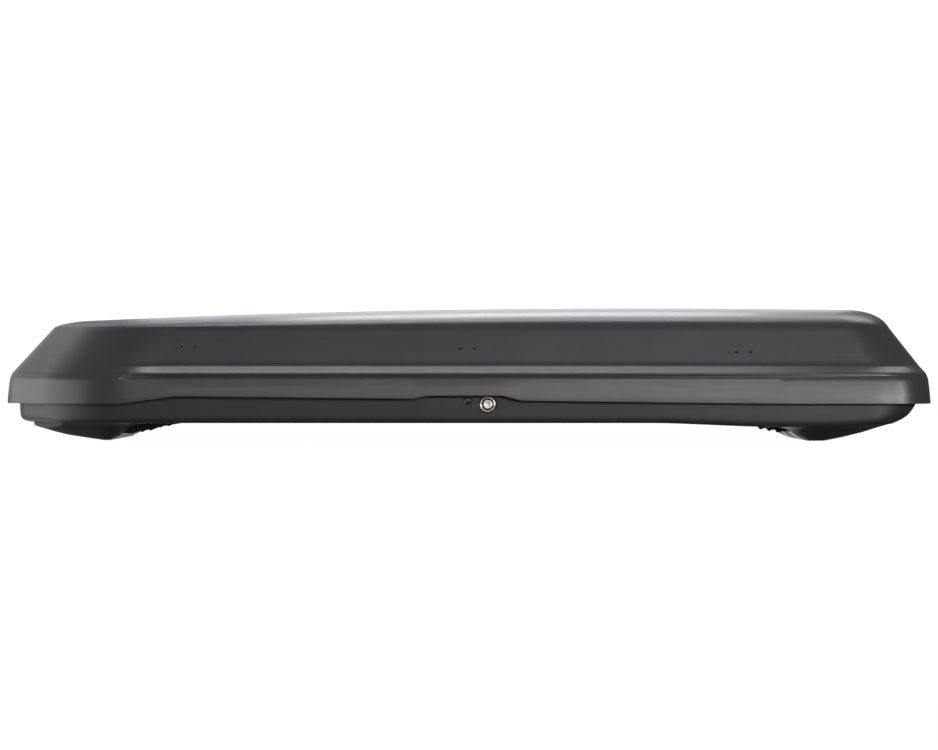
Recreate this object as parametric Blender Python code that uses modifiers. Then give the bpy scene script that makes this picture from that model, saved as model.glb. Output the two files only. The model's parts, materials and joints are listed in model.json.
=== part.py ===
"""A low, wedge-shaped hard-shell cargo box for a car roof, modelled closed, at its real size.

Metres, +Z up. X runs along the box with the nose at -X, and Y across it. The lock is on the near side,
at -Y, and the hinges are on the far side, at +Y. The origin is at the middle of the box's footprint, on
the level of the two pods' lowest points.
"""

import math

import bmesh
import bpy
from mathutils import Matrix, Vector

# Driving dimensions of the two shells.
HALF_LENGTH = 1.015
HALF_WIDTH = 0.420
SHELL = 0.004
GAP = 0.0003

# The lid's outline in plan, seen as one half: its corners and the radius each is rounded to.
PLAN_CORNERS = (((-1.008, -0.215), 0.120), ((-0.835, -0.420), 0.250), ((1.003, -0.420), 0.130))
PLAN_RUN = 0.090
CORNER_TURN = math.radians(14)

# Heights of the lid: its lip along X, then the skirt's top, the groove, the bead and the ledge.
LIP_LINE = (
    (-0.731, 0.0838), (-0.616, 0.0997), (-0.110, 0.0944), (0.119, 0.0906), (0.499, 0.0857), (0.711, 0.0838)
)
LOCK_NOTCH = ((-0.110, 0.0944), (-0.080, 0.1008), (0.081, 0.1008), (0.119, 0.0906))
SKIRT_TOP = 0.1400
GROOVE_LEVEL = 0.1425
BEAD_LEVEL = 0.1490
LEDGE_TOP = 0.1640
SKIRT_FLARE = 0.007
GROOVE_DEPTH = 0.0045
LEDGE_RUN = 0.018
LEDGE_START = (-0.745, -0.660)
WALL_LEAN = 0.209
BEAD_INSET = 0.009
NOSE_SLOPE = 0.95
TAIL_SLOPE = 0.78
LID_SHIFT_START = 0.55

# The roof: its ridge line, its crown across, and the shoulder that rounds into it.
RIDGE_HEIGHT = 0.295
RIDGE_X = 0.36
RIDGE_FALL_FRONT = 0.0191
RIDGE_FALL_REAR = 0.0125
CROWN_DROP = 0.010
CROWN_HALF = 0.30
SHOULDER_ANGLES = (28.0, 56.0, 90.0)
SHOULDER_WIDTH = 0.075
FLUTE_Y = 0.150
FLUTE_HALF = 0.030
FLUTE_DEPTH = 0.004

# The base: how far it stands in from the lid's lip, and the heights of its wall.
BASE_SIDE_INSET = 0.026
BASE_NOSE_INSET = 0.0265
BASE_TAIL_INSET = 0.026
RIM_TOP = 0.128
FLOOR_UNDER = 0.0414
EDGE_LEVEL = 0.0425
BASE_SHIFT_START = 0.86
POD_HALF = 0.180
POD_EDGE = 0.365
UNDER_LINE = (
    (-0.955, 0.0405), (-0.925, 0.0288), (-0.900, 0.0205), (-0.874, 0.0135), (-0.830, 0.0067), (-0.783, 0.0),
    (-0.7675, 0.0071), (-0.749, 0.0197), (-0.7237, 0.0332), (-0.690, 0.0395), (-0.660, 0.0414), (0.560, 0.0414),
    (0.640, 0.0345), (0.683, 0.0290), (0.7055, 0.0220), (0.7267, 0.0130), (0.749, 0.0), (0.792, 0.0),
    (0.829, 0.0076), (0.874, 0.0188), (0.918, 0.0327), (0.930, 0.0375),
)

# How far the edge of the underside hangs below its level, from behind the rear crossbar to the tail. The drop
# fades out inward, close to the edge ahead of the rear pod and over the pod's whole width behind that.
EDGE_DROP = ((0.430, 0.0), (0.620, 0.0079), (0.700, 0.0088), (0.780, 0.0088), (0.850, 0.0050), (0.930, 0.0025))
DROP_TOP = 0.105
DROP_Y = 0.325
DROP_BLEND = 0.045
DROP_WIDENS = (0.640, 0.720)

# Two channels run along the underside, and the clamps grip the crossbars inside them.
CHANNEL_Y = 0.220
CHANNEL_HALF = 0.032
CHANNEL_WALL = 0.010
CHANNEL_RISE = 0.030
CHANNEL_END = 0.540
CHANNEL_RAMP = 0.040

# Stations along X of the three hinges and three catches, each with its rivets' height.
STATIONS = {"front": (-0.588, 0.208), "middle": (0.006, 0.203), "rear": (0.594, 0.196)}
RIVET_PITCH = 0.030
RIVET_HEAD = 0.0047
RIVET_DOME = 0.0022
RIVET_SHANK = 0.0022
RIVET_HOLE = 0.0026

# The hinges.
HINGE_Y = 0.4055
HINGE_Z = 0.098
KNUCKLE = 0.0055
HINGE_PIN = 0.0024
PIN_HOLE = 0.0028
HINGE_WIDTH = 0.060
CENTRE_KNUCKLE = 0.020
LEAF_THICKNESS = 0.0025

# The lock, its screw and the latch rail behind it.
LOCK_X = 0.0485
LOCK_Z = 0.0828
BEZEL_RADIUS = 0.0170
BEZEL_BORE = 0.0125
KEY_RADIUS = 0.0110
LOCK_SCREW_X = 0.0065
LOCK_SCREW_Z = 0.0901
CUP_RADIUS = 0.0091
SCREW_SHANK = 0.0028
SCREW_HOLE = 0.0034
CAM_THROW = 0.0106
RAIL_NEAR = -0.372
RAIL_FAR = -0.366
RAIL_BOTTOM = 0.098
RAIL_TOP = 0.108
CATCH_PIN_Z = 0.118
CATCH_PIN = 0.004
STRIKER_Y = -0.378
STRIKER_WIDTH = 0.040
GUIDE_X = {"front": -0.330, "middle": 0.260, "rear": 0.460}

# The gas struts, each in a plane across the box.
STRUT_X = {"front": -0.600, "rear": 0.600}
STRUT_FOOT = (0.300, 0.070)
STRUT_HEAD = (0.000, 0.235)
STRUT_TUBE = 0.0090
STRUT_ROD = 0.0040
TUBE_LENGTH = 0.215
SOCKET = 0.0080

# The clamps that hold the box on a car's crossbars.
CLAMP_X = 0.400
CLAMP_SIDES = {"near": -1, "far": 1}
CLAMP_ENDS = {"front": -1, "rear": 1}
SLOT_LENGTH = 0.044
SLOT_WIDTH = 0.026

# Straps and stiffening bars.
STRAP_X = {"front": -0.200, "rear": 0.200}
STRAP_WIDTH = 0.025
STRAP_THICKNESS = 0.0015
BAR_Y = 0.318
BAR_SIZE = (1.10, 0.025, 0.006)

WALL_NORMAL = Vector((0.0, 1.0, WALL_LEAN)).normalized()

PARTS = "roof_cargo_box"
CUTTERS = "cutters"


# ---------------------------------------------------------------- shared helpers

def clear_scene():
    for obj in list(bpy.data.objects):
        bpy.data.objects.remove(obj, do_unlink=True)


def new_collection(name):
    collection = bpy.data.collections.new(name)
    bpy.context.scene.collection.children.link(collection)
    return collection


def material(name, colour, roughness, metallic=0.0):
    made = bpy.data.materials.new(name)
    made.use_nodes = True
    shader = made.node_tree.nodes["Principled BSDF"]
    shader.inputs["Base Color"].default_value = (*colour, 1.0)
    shader.inputs["Roughness"].default_value = roughness
    shader.inputs["Metallic"].default_value = metallic
    return made


def ramp(value, low, high):
    """0 below low, 1 above high, and a smooth turn between them."""
    t = min(max((value - low) / (high - low), 0.0), 1.0)
    return t * t * (3.0 - 2.0 * t)


def along(points, x):
    """The height at x on a line given by (x, height) points, level beyond its ends."""
    if x <= points[0][0]:
        return points[0][1]
    for (x0, z0), (x1, z1) in zip(points, points[1:]):
        if x <= x1:
            return z0 + (z1 - z0) * (x - x0) / (x1 - x0)
    return points[-1][1]


def add_mesh(name, bm, look, smooth_angle=35):
    """Makes a bmesh an object of the box, shaded smooth up to the angle."""
    mesh = bpy.data.meshes.new(name)
    bm.to_mesh(mesh)
    bm.free()
    mesh.materials.append(look)
    mesh.shade_smooth()
    mesh.set_sharp_from_angle(angle=math.radians(smooth_angle))
    obj = bpy.data.objects.new(name, mesh)
    bpy.data.collections[PARTS].objects.link(obj)
    return obj


def as_cutter(obj):
    """Takes an object out of the model, to be used only by a Boolean."""
    bpy.data.collections[PARTS].objects.unlink(obj)
    bpy.data.collections[CUTTERS].objects.link(obj)
    obj.hide_render = True
    obj.display_type = "WIRE"
    return obj


def boolean(obj, other, operation):
    modifier = obj.modifiers.new(other.name, "BOOLEAN")
    modifier.operation = operation
    modifier.object = as_cutter(other)


def cut(obj, other):
    boolean(obj, other, "DIFFERENCE")


def join(obj, other):
    boolean(obj, other, "UNION")


def bevel(obj, width, segments=1):
    modifier = obj.modifiers.new("bevel", "BEVEL")
    modifier.width = width
    modifier.segments = segments
    modifier.limit_method = "ANGLE"


def block(name, look, low, high, edge=0.0):
    """A box between two corners, its edges bevelled by edge."""
    low, high = Vector(low), Vector(high)
    bm = bmesh.new()
    bmesh.ops.create_cube(bm, size=1.0)
    bmesh.ops.scale(bm, vec=high - low, verts=bm.verts)
    obj = add_mesh(name, bm, look)
    obj.location = (low + high) / 2
    if edge:
        bevel(obj, edge)
    return obj


def facing(direction):
    """The rotation that turns +Z to a direction."""
    return Vector(direction).to_track_quat("Z", "Y").to_euler()


def rod(name, look, radius, start, end, sides=16):
    """A round bar between two points."""
    start, end = Vector(start), Vector(end)
    bm = bmesh.new()
    bmesh.ops.create_cone(
        bm, cap_ends=True, segments=sides, radius1=radius, radius2=radius, depth=(end - start).length
    )
    obj = add_mesh(name, bm, look)
    obj.location = (start + end) / 2
    obj.rotation_euler = facing(end - start)
    return obj


def turned(name, look, profile, location, direction, steps=24):
    """A turned piece: the profile's (radius, height) points run down its outer side, top to bottom."""
    mesh = bpy.data.meshes.new(name)
    points = [(radius, 0.0, height) for radius, height in profile]
    closed = profile[0][0] > 0 and profile[-1][0] > 0
    edges = [(i, i + 1) for i in range(len(points) - 1)]
    if closed:
        edges.append((len(points) - 1, 0))
    mesh.from_pydata(points, edges, [])
    mesh.materials.append(look)
    obj = bpy.data.objects.new(name, mesh)
    bpy.data.collections[PARTS].objects.link(obj)
    screw = obj.modifiers.new("turn", "SCREW")
    screw.steps = steps
    screw.render_steps = steps
    screw.use_merge_vertices = True
    screw.merge_threshold = 0.00001
    screw.use_smooth_shade = True
    obj.location = location
    obj.rotation_euler = facing(direction)
    return obj


def outline_mesh(points, holes, thickness):
    """A flat outline with holes, given as (u, v) points, thickened evenly both ways along its third axis."""
    curve = bpy.data.curves.new("outline", "CURVE")
    curve.dimensions = "2D"
    curve.fill_mode = "BOTH"
    curve.extrude = thickness / 2
    for loop in [points, *holes]:
        spline = curve.splines.new("POLY")
        spline.points.add(len(loop) - 1)
        for point, (u, v) in zip(spline.points, loop):
            point.co = (u, v, 0.0, 1.0)
        spline.use_cyclic_u = True
    flat = bpy.data.objects.new("outline", curve)
    bpy.context.scene.collection.objects.link(flat)
    graph = bpy.context.evaluated_depsgraph_get()
    mesh = bpy.data.meshes.new_from_object(flat.evaluated_get(graph))
    bpy.data.objects.remove(flat, do_unlink=True)
    bm = bmesh.new()
    bm.from_mesh(mesh)
    bmesh.ops.remove_doubles(bm, verts=bm.verts, dist=0.00001)
    bpy.data.meshes.remove(mesh)
    return bm


def plate_across(name, look, outline, x, width, holes=()):
    """A piece with one (y, z) outline, as wide along X as width, centred on x."""
    bm = outline_mesh(outline, holes, width)
    turn = Matrix(((0, 0, 1, 0), (1, 0, 0, 0), (0, 1, 0, 0), (0, 0, 0, 1)))
    bmesh.ops.transform(bm, matrix=turn, verts=bm.verts)
    obj = add_mesh(name, bm, look)
    obj.location = (x, 0.0, 0.0)
    return obj


def plate_along(name, look, outline, y, thickness, holes=()):
    """A piece with one (x, z) outline, as thick along Y as thickness, centred on y."""
    bm = outline_mesh(outline, holes, thickness)
    bmesh.ops.rotate(bm, matrix=Matrix.Rotation(math.pi / 2, 3, "X"), verts=bm.verts)
    obj = add_mesh(name, bm, look)
    obj.location = (0.0, y, 0.0)
    return obj


def circle(centre, radius, sides=12):
    turn = 2 * math.pi / sides
    u, v = centre
    return [(u + radius * math.cos(i * turn), v + radius * math.sin(i * turn)) for i in range(sides)]


def ribbon(path, thickness):
    """The outline of a strip of even thickness about a path of (u, v) points."""
    sides = ([], [])
    for i, point in enumerate(path):
        before = Vector(path[max(i - 1, 0)])
        after = Vector(path[min(i + 1, len(path) - 1)])
        normal = (after - before).normalized().orthogonal()
        for side, sign in zip(sides, (0.5, -0.5)):
            side.append(tuple(Vector(point) + normal * thickness * sign))
    return sides[0] + sides[1][::-1]


# ---------------------------------------------------------------- the plan outline

def corner_arc(before, corner, after, radius):
    """The points of the arc that rounds a corner of the plan."""
    corner = Vector(corner)
    inward = (Vector(before) - corner).normalized()
    onward = (Vector(after) - corner).normalized()
    turn = math.pi - inward.angle(onward)
    reach = radius * math.tan(turn / 2)
    start = corner + inward * reach
    centre = start - inward.orthogonal() * radius
    arm = start - centre
    steps = max(2, round(turn / CORNER_TURN))
    return [centre + Matrix.Rotation(turn * i / steps, 2) @ arm for i in range(steps + 1)]


def plan_half(stations):
    """The near half of the lid's outline, from the nose's tip to the tail's, with points at the stations."""
    corners = [(-HALF_LENGTH, 0.0), *(corner for corner, _ in PLAN_CORNERS), (HALF_LENGTH, 0.0)]
    points = [Vector(corners[0])]
    for i, (corner, radius) in enumerate(PLAN_CORNERS):
        arc = corner_arc(corners[i], corner, corners[i + 2], radius)
        if i == 2:
            points += [Vector((x, -HALF_WIDTH)) for x in stations if points[-1].x < x < arc[0].x]
        else:
            points += run(points[-1], arc[0])
        points += arc
    points += run(points[-1], Vector(corners[-1]))
    points.append(Vector(corners[-1]))
    return points


def run(start, end):
    """Evenly spaced points strictly between two others."""
    pieces = max(1, round((end - start).length / PLAN_RUN))
    return [start.lerp(end, i / pieces) for i in range(1, pieces)]


def side_stations(fixed):
    """Points along the straight side: the fixed ones, and more wherever two are far apart."""
    stations = []
    fixed = sorted(fixed)
    for x0, x1 in zip(fixed, fixed[1:]):
        pieces = max(1, math.ceil((x1 - x0) / PLAN_RUN))
        stations += [x0 + (x1 - x0) * i / pieces for i in range(pieces)]
    return [*stations, fixed[-1]]


def inset(point, side, nose, tail, start):
    """Moves a plan point in by these amounts. Along X the move grows from nothing at start."""
    x, y = point
    if x < 0:
        x += nose * min(max((-x - start) / (HALF_LENGTH - start), 0.0), 1.0)
    else:
        x -= tail * min(max((x - start) / (HALF_LENGTH - start), 0.0), 1.0)
    return x, y * (HALF_WIDTH - side) / HALF_WIDTH


# ---------------------------------------------------------------- the shells

def open_shell(rings, height, across):
    """A bmesh of rings of (x, y, z) points, closed over its last ring by rows across it.

    height gives z at a place on the closing surface, and across its rows' places, as parts of the half width.
    """
    bm = bmesh.new()
    loops = [[bm.verts.new(point) for point in ring] for ring in rings]
    count = len(rings[0])
    for lower, upper in zip(loops, loops[1:]):
        for i in range(count):
            j = (i + 1) % count
            bm.faces.new((lower[i], lower[j], upper[j], upper[i]))
    last = loops[-1]
    half = count // 2
    rows = [[last[0]] * (len(across) + 2)]
    for i in range(1, half):
        near, far = last[i], last[-i]
        x, y = near.co.x, far.co.y
        middle = [bm.verts.new((x, y * part, height(x, y * part))) for part in across]
        rows.append([near, *middle, far])
    rows.append([last[half]] * (len(across) + 2))
    for row, following in zip(rows, rows[1:]):
        for j in range(len(row) - 1):
            corners = (row[j], following[j], following[j + 1], row[j + 1])
            bm.faces.new(tuple(dict.fromkeys(corners)))
    return bm


def full_loop(half_points):
    """Both halves of a loop, from the nose along the near side and back along the far side."""
    return half_points + [(x, -y, z) for x, y, z in half_points[-2:0:-1]]


def thicken(obj):
    solidify = obj.modifiers.new("shell", "SOLIDIFY")
    solidify.thickness = SHELL
    solidify.offset = -1.0


def lip_height(x, y):
    """The lid's lower edge, which rises over the lock on the near side only."""
    height = along(LIP_LINE, x)
    if y < 0 and LOCK_NOTCH[0][0] <= x <= LOCK_NOTCH[-1][0]:
        height = along(LOCK_NOTCH, x)
    return height


def ridge_height(x):
    fall = RIDGE_FALL_FRONT if x < RIDGE_X else RIDGE_FALL_REAR
    return RIDGE_HEIGHT - fall * (x - RIDGE_X) ** 2


def roof_height(x, y):
    """The top of the lid: the ridge line, less the crown across and two shallow flutes."""
    flute = 1.0 - ramp(abs(abs(y) - FLUTE_Y), FLUTE_HALF * 0.4, FLUTE_HALF)
    flute *= ramp(x, -0.74, -0.62) * (1.0 - ramp(x, 0.66, 0.78))
    return ridge_height(x) - CROWN_DROP * (y / CROWN_HALF) ** 2 - FLUTE_DEPTH * flute


def shoulder_depth(x):
    """How far below the ridge the wall starts to round over."""
    return 0.024 + 0.020 * ramp(x, -0.90, -0.10)


def ledge_strength(x):
    """1 where the ledge and its groove run along the side, 0 at the nose and tail."""
    return ramp(x, -0.800, -0.680) * (1.0 - 0.85 * ramp(x, 0.30, 0.90)) * (1.0 - ramp(x, 0.84, 0.93))


def lid_levels(point):
    """The lid's section at a plan point, as (inset at the side, nose and tail, height), lip to wall top."""
    x = point[0]
    ledge = ledge_strength(x)
    wall_top = ridge_height(x) - shoulder_depth(x)

    def slope(z):
        rise = z - BEAD_LEVEL
        spread = rise / (wall_top - BEAD_LEVEL)
        step = spread + (ramp(z, BEAD_LEVEL, LEDGE_TOP) - spread) * ramp(x, *LEDGE_START)
        return (
            BEAD_INSET + LEDGE_RUN * step + rise * WALL_LEAN,
            BEAD_INSET + rise * NOSE_SLOPE,
            BEAD_INSET + rise * TAIL_SLOPE,
        )

    flare = SKIRT_FLARE
    groove = flare + GROOVE_DEPTH * ledge
    return (
        (0.0, 0.0, 0.0, None),
        (flare, flare, flare, SKIRT_TOP),
        (groove, flare, flare, GROOVE_LEVEL),
        (*slope(BEAD_LEVEL), BEAD_LEVEL),
        (*slope(LEDGE_TOP), LEDGE_TOP),
        (*slope(wall_top), wall_top),
    )


def lid_rings():
    """The lid's rings from its lip up to the edge of its roof."""
    stations = side_stations([x for x, _ in LIP_LINE] + [LOCK_NOTCH[1][0], LOCK_NOTCH[2][0], -0.70, 0.86])
    plan = plan_half(stations)
    rings = []
    for level in range(len(lid_levels(plan[0]))):
        half = []
        for point in plan:
            side, nose, tail, z = lid_levels(point)[level]
            x, y = inset(point, side, nose, tail, LID_SHIFT_START)
            half.append((x, y, z if z else lip_height(x, y)))
        ring = full_loop(half)
        if level == 0:
            ring = [(x, y, lip_height(x, y)) for x, y, _ in ring]
        rings.append(ring)
    for angle in SHOULDER_ANGLES:
        out = SHOULDER_WIDTH * (1.0 - math.cos(math.radians(angle)))
        rise = math.sin(math.radians(angle))
        half = []
        for point in plan:
            side, nose, tail, z = lid_levels(point)[-1]
            x, y = inset(point, side + out, nose + out, tail + out, LID_SHIFT_START)
            half.append((x, y, z + (roof_height(x, y) - z) * rise))
        rings.append(full_loop(half))
    return rings


def make_lid(look):
    across = (-0.75, -0.59, -0.50, -0.38, 0.0, 0.38, 0.50, 0.59, 0.75)
    bm = open_shell(lid_rings(), roof_height, across)
    lid = add_mesh("lid_shell", bm, look)
    thicken(lid)
    return lid


def hang(x, z):
    """A height on the base's wall, let down towards the rear with the edge of the underside."""
    return z - along(EDGE_DROP, x) * max(DROP_TOP - z, 0.0) / (DROP_TOP - EDGE_LEVEL)


def under_height(x, y):
    """The underside of the base: flat amidships, with a pod at each end and two channels along it."""
    pod = 1.0 - ramp(abs(y), POD_HALF, POD_EDGE)
    fade = DROP_Y * (1.0 - ramp(x, *DROP_WIDENS))
    edge = EDGE_LEVEL - along(EDGE_DROP, x) * ramp(abs(y), fade, fade + DROP_BLEND)
    height = edge + (along(UNDER_LINE, x) - edge) * pod
    off_channel = abs(abs(y) - CHANNEL_Y)
    wall = 1.0 - min(max((off_channel - CHANNEL_HALF) / CHANNEL_WALL, 0.0), 1.0)
    end = 1.0 - min(max((abs(x) - CHANNEL_END) / CHANNEL_RAMP, 0.0), 1.0)
    return height + CHANNEL_RISE * wall * end


def base_rings():
    """The base's rings from its rim down to the edge of its underside."""
    channel_ends = (CHANNEL_END, CHANNEL_END + CHANNEL_RAMP)
    fixed = [x for x, _ in (*UNDER_LINE, *EDGE_DROP) if -0.70 < x < 0.86]
    stations = side_stations(fixed + [sign * x for x in channel_ends for sign in (-1, 1)])
    plan = plan_half(stations)
    side, nose, tail = BASE_SIDE_INSET, BASE_NOSE_INSET, BASE_TAIL_INSET
    levels = (
        (side, nose, tail, RIM_TOP),
        (side, nose, tail + 0.001, 0.085),
        (side + 0.0005, nose + 0.001, tail + 0.018, 0.062),
        (side + 0.004, nose + 0.007, tail + 0.034, 0.0525),
        (side + 0.011, nose + 0.018, tail + 0.046, 0.0460),
        (side + 0.021, nose + 0.031, tail + 0.054, EDGE_LEVEL),
    )
    rings = []
    for side_in, nose_in, tail_in, z in levels:
        half = [inset(point, side_in, nose_in, tail_in, BASE_SHIFT_START) for point in plan]
        rings.append(full_loop([(x, y, hang(x, z)) for x, y in half]))
    return rings


def make_base(look):
    width = HALF_WIDTH - BASE_SIDE_INSET - 0.021
    inner = CHANNEL_Y - CHANNEL_HALF
    outer = CHANNEL_Y + CHANNEL_HALF
    places = (0.325, 0.290, outer + CHANNEL_WALL, outer, inner, inner - CHANNEL_WALL)
    parts = [place / width for place in places]
    across = [-part for part in parts] + [0.0] + parts[::-1]
    rings = base_rings()
    bm = open_shell(rings, under_height, across)
    bmesh.ops.reverse_faces(bm, faces=bm.faces)
    base = add_mesh("base_shell", bm, look)
    thicken(base)
    bores = (
        ("lock_hole", BEZEL_BORE, LOCK_X, LOCK_Z, 24),
        ("screw_hole", SCREW_HOLE, LOCK_SCREW_X, LOCK_SCREW_Z, 12),
    )
    for name, radius, x, z, sides in bores:
        cut(base, rod(name, look, radius, (x, -0.410, z), (x, -0.380, z), sides))
    for end, x_sign in CLAMP_ENDS.items():
        for side_name, y_sign in CLAMP_SIDES.items():
            x, y = x_sign * CLAMP_X, y_sign * CHANNEL_Y
            low = (x - SLOT_LENGTH / 2, y - SLOT_WIDTH / 2, 0.060)
            high = (x + SLOT_LENGTH / 2, y + SLOT_WIDTH / 2, 0.090)
            cut(base, block(f"slot_{end}_{side_name}", look, low, high))
    return base


def make_trim(look):
    """The rubber trim that sits on the base's rim, all the way round."""
    radius = 0.003
    rim = base_rings()[0]
    middle = SHELL / 2
    curve = bpy.data.curves.new("rim_trim", "CURVE")
    curve.dimensions = "3D"
    curve.bevel_depth = radius
    curve.bevel_resolution = 0
    spline = curve.splines.new("POLY")
    spline.points.add(len(rim) - 1)
    for point, (x, y, z) in zip(spline.points, rim):
        x *= (HALF_LENGTH - middle) / HALF_LENGTH
        y *= (HALF_WIDTH - middle) / HALF_WIDTH
        point.co = (x, y, z + GAP + radius, 1.0)
    spline.use_cyclic_u = True
    obj = bpy.data.objects.new("rim_trim", curve)
    curve.materials.append(look)
    bpy.data.collections[PARTS].objects.link(obj)
    return obj


# ---------------------------------------------------------------- hinges, catches and rivets

def wall_y(z):
    """How far from the middle the outer face of the lid's side wall is, at a height."""
    return HALF_WIDTH - BEAD_INSET - LEDGE_RUN - (z - BEAD_LEVEL) * WALL_LEAN


def inner_path(station_z):
    """(y, z) points up the inside of the lid's wall for a leaf held by rivets at this height."""
    reach = (SHELL + LEAF_THICKNESS / 2 + GAP) / WALL_NORMAL.y
    return [(wall_y(z) - reach, z) for z in (0.176, station_z + 0.012)]


def rivet_places(x):
    return {1: x - RIVET_PITCH / 2, 2: x + RIVET_PITCH / 2}


def drill_rivets(obj, look, side, x, z, radius):
    """Cuts the holes for a station's two rivets."""
    for number, rivet_x in rivet_places(x).items():
        middle = Vector((rivet_x, side * wall_y(z), z))
        out = Vector((0.0, side * WALL_NORMAL.y, WALL_NORMAL.z)) * 0.012
        name = f"{obj.name}_rivet_hole_{side}_{number}_{x}"
        cut(obj, rod(name, look, radius, middle - out, middle + out, 12))


def make_rivets(side_name, side, station, look):
    """The two dome-head rivets of one station. Each has a shank through the wall and the leaf behind it."""
    x, z = STATIONS[station]
    depth = SHELL + LEAF_THICKNESS + 0.0012
    profile = [
        (0.0, RIVET_DOME), (RIVET_HEAD * 0.55, RIVET_DOME * 0.82), (RIVET_HEAD * 0.88, RIVET_DOME * 0.42),
        (RIVET_HEAD, GAP), (RIVET_SHANK, GAP), (RIVET_SHANK, -depth), (0.0, -depth),
    ]
    normal = Vector((0.0, side * WALL_NORMAL.y, WALL_NORMAL.z))
    for number, rivet_x in rivet_places(x).items():
        place = Vector((rivet_x, side * wall_y(z), z))
        turned(f"rivet_{side_name}_{station}_{number}", look, profile, place, normal, 12)


def make_hinge(station, steel, look):
    """A hinge: a bracket on the base's wall, a leaf up the inside of the lid, and a pin through both."""
    x, z = STATIONS[station]
    wall = HALF_WIDTH - BASE_SIDE_INSET
    plate_face = wall + GAP
    knuckle = circle((HINGE_Y, HINGE_Z), KNUCKLE)
    half = HINGE_WIDTH / 2

    low = (x - half, plate_face, 0.068)
    high = (x + half, plate_face + LEAF_THICKNESS, 0.110)
    bracket = block(f"hinge_bracket_{station}", steel, low, high)
    bridge = [(plate_face + 0.001, 0.0945), (HINGE_Y, HINGE_Z - KNUCKLE), *knuckle[9:], *knuckle[:4],
              (plate_face + 0.001, 0.1015)]
    join(bracket, plate_across(f"bridge_{station}", steel, bridge, x, CENTRE_KNUCKLE))
    cut(bracket, rod(f"bracket_eye_{station}", steel, PIN_HOLE, (x - half, HINGE_Y, HINGE_Z),
                     (x + half, HINGE_Y, HINGE_Z), 12))

    path = [
        (0.4050, 0.1000), (0.4012, 0.1120), (0.3995, 0.1300), (0.3985, 0.1420), (0.3875, 0.1550), (0.3830, 0.1640),
    ]
    path += inner_path(z)
    leaf = plate_across(f"hinge_leaf_{station}", steel, ribbon(path, LEAF_THICKNESS), x, HINGE_WIDTH)
    join(leaf, plate_across(f"leaf_knuckle_{station}", steel, knuckle, x, HINGE_WIDTH))
    notch = CENTRE_KNUCKLE / 2 + 0.0005
    cut(leaf, block(f"leaf_notch_{station}", steel, (x - notch, 0.385, 0.085), (x + notch, 0.415, 0.118)))
    cut(leaf, rod(f"leaf_eye_{station}", steel, PIN_HOLE, (x - half - 0.01, HINGE_Y, HINGE_Z),
                  (x + half + 0.01, HINGE_Y, HINGE_Z), 12))
    drill_rivets(leaf, steel, 1, x, z, RIVET_HOLE)

    rod(f"hinge_pin_{station}", look, HINGE_PIN, (x - half - 0.001, HINGE_Y, HINGE_Z),
        (x + half + 0.001, HINGE_Y, HINGE_Z), 12)
    make_rivets("far", 1, station, look)


def make_striker(station, steel, look):
    """A catch plate down the inside of the lid's near wall, with the pin that a latch hook catches."""
    x, z = STATIONS[station]
    path = [(-y, height) for y, height in inner_path(z)[::-1]]
    path += [(-0.3800, 0.1520), (STRIKER_Y, 0.1420), (STRIKER_Y, 0.1100)]
    striker = plate_across(f"striker_{station}", steel, ribbon(path, LEAF_THICKNESS), x, STRIKER_WIDTH)
    join(striker, rod(f"catch_pin_{station}", steel, CATCH_PIN, (x, STRIKER_Y, CATCH_PIN_Z),
                      (x, -0.3600, CATCH_PIN_Z), 12))
    drill_rivets(striker, steel, -1, x, z, RIVET_HOLE)
    make_rivets("near", -1, station, look)


# ---------------------------------------------------------------- the lock and latch

def hook_outline(x):
    """The points of one hook on the latch rail, from left to right. Its finger points along +X."""
    tip = x - 0.008
    return [
        (tip - 0.024, RAIL_TOP), (tip - 0.024, 0.1305), (tip - 0.020, 0.1335), (tip, 0.1315), (tip, 0.1245),
        (tip - 0.012, 0.1235), (tip - 0.012, RAIL_TOP),
    ]


def make_latch_rail(look):
    """The sliding bar with a hook for each catch and a slot for the lock's cam."""
    stations = [x for x, _ in STATIONS.values()]
    slot_x = LOCK_X - CAM_THROW * math.sin(math.pi / 4)
    outline = [(-0.660, RAIL_BOTTOM), (-0.660, RAIL_TOP)]
    for x in stations:
        outline += hook_outline(x)
    outline += [(0.640, RAIL_TOP), (0.640, RAIL_BOTTOM)]
    outline += [(slot_x + 0.010, RAIL_BOTTOM), (slot_x + 0.008, 0.0830), (slot_x - 0.008, 0.0830),
                (slot_x - 0.010, RAIL_BOTTOM)]
    slot = [(slot_x - 0.0033, 0.0866), (slot_x + 0.0033, 0.0866), (slot_x + 0.0033, 0.0985),
            (slot_x - 0.0033, 0.0985)]
    plate_along("latch_rail", look, outline, (RAIL_NEAR + RAIL_FAR) / 2, RAIL_FAR - RAIL_NEAR, [slot])


def make_guide(name, look):
    """A moulded guide on the base's near wall that the latch rail slides through."""
    wall = -(HALF_WIDTH - BASE_SIDE_INSET - SHELL) + 0.0004
    outline = [
        (wall, 0.0880), (-0.3610, 0.0880), (-0.3610, 0.1040), (RAIL_FAR + 0.0005, 0.1040),
        (RAIL_FAR + 0.0005, RAIL_BOTTOM - 0.0005), (RAIL_NEAR - 0.0005, RAIL_BOTTOM - 0.0005),
        (RAIL_NEAR - 0.0005, 0.1130), (wall, 0.1130),
    ]
    plate_across(f"latch_guide_{name}", look, outline, GUIDE_X[name], 0.024)


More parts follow.
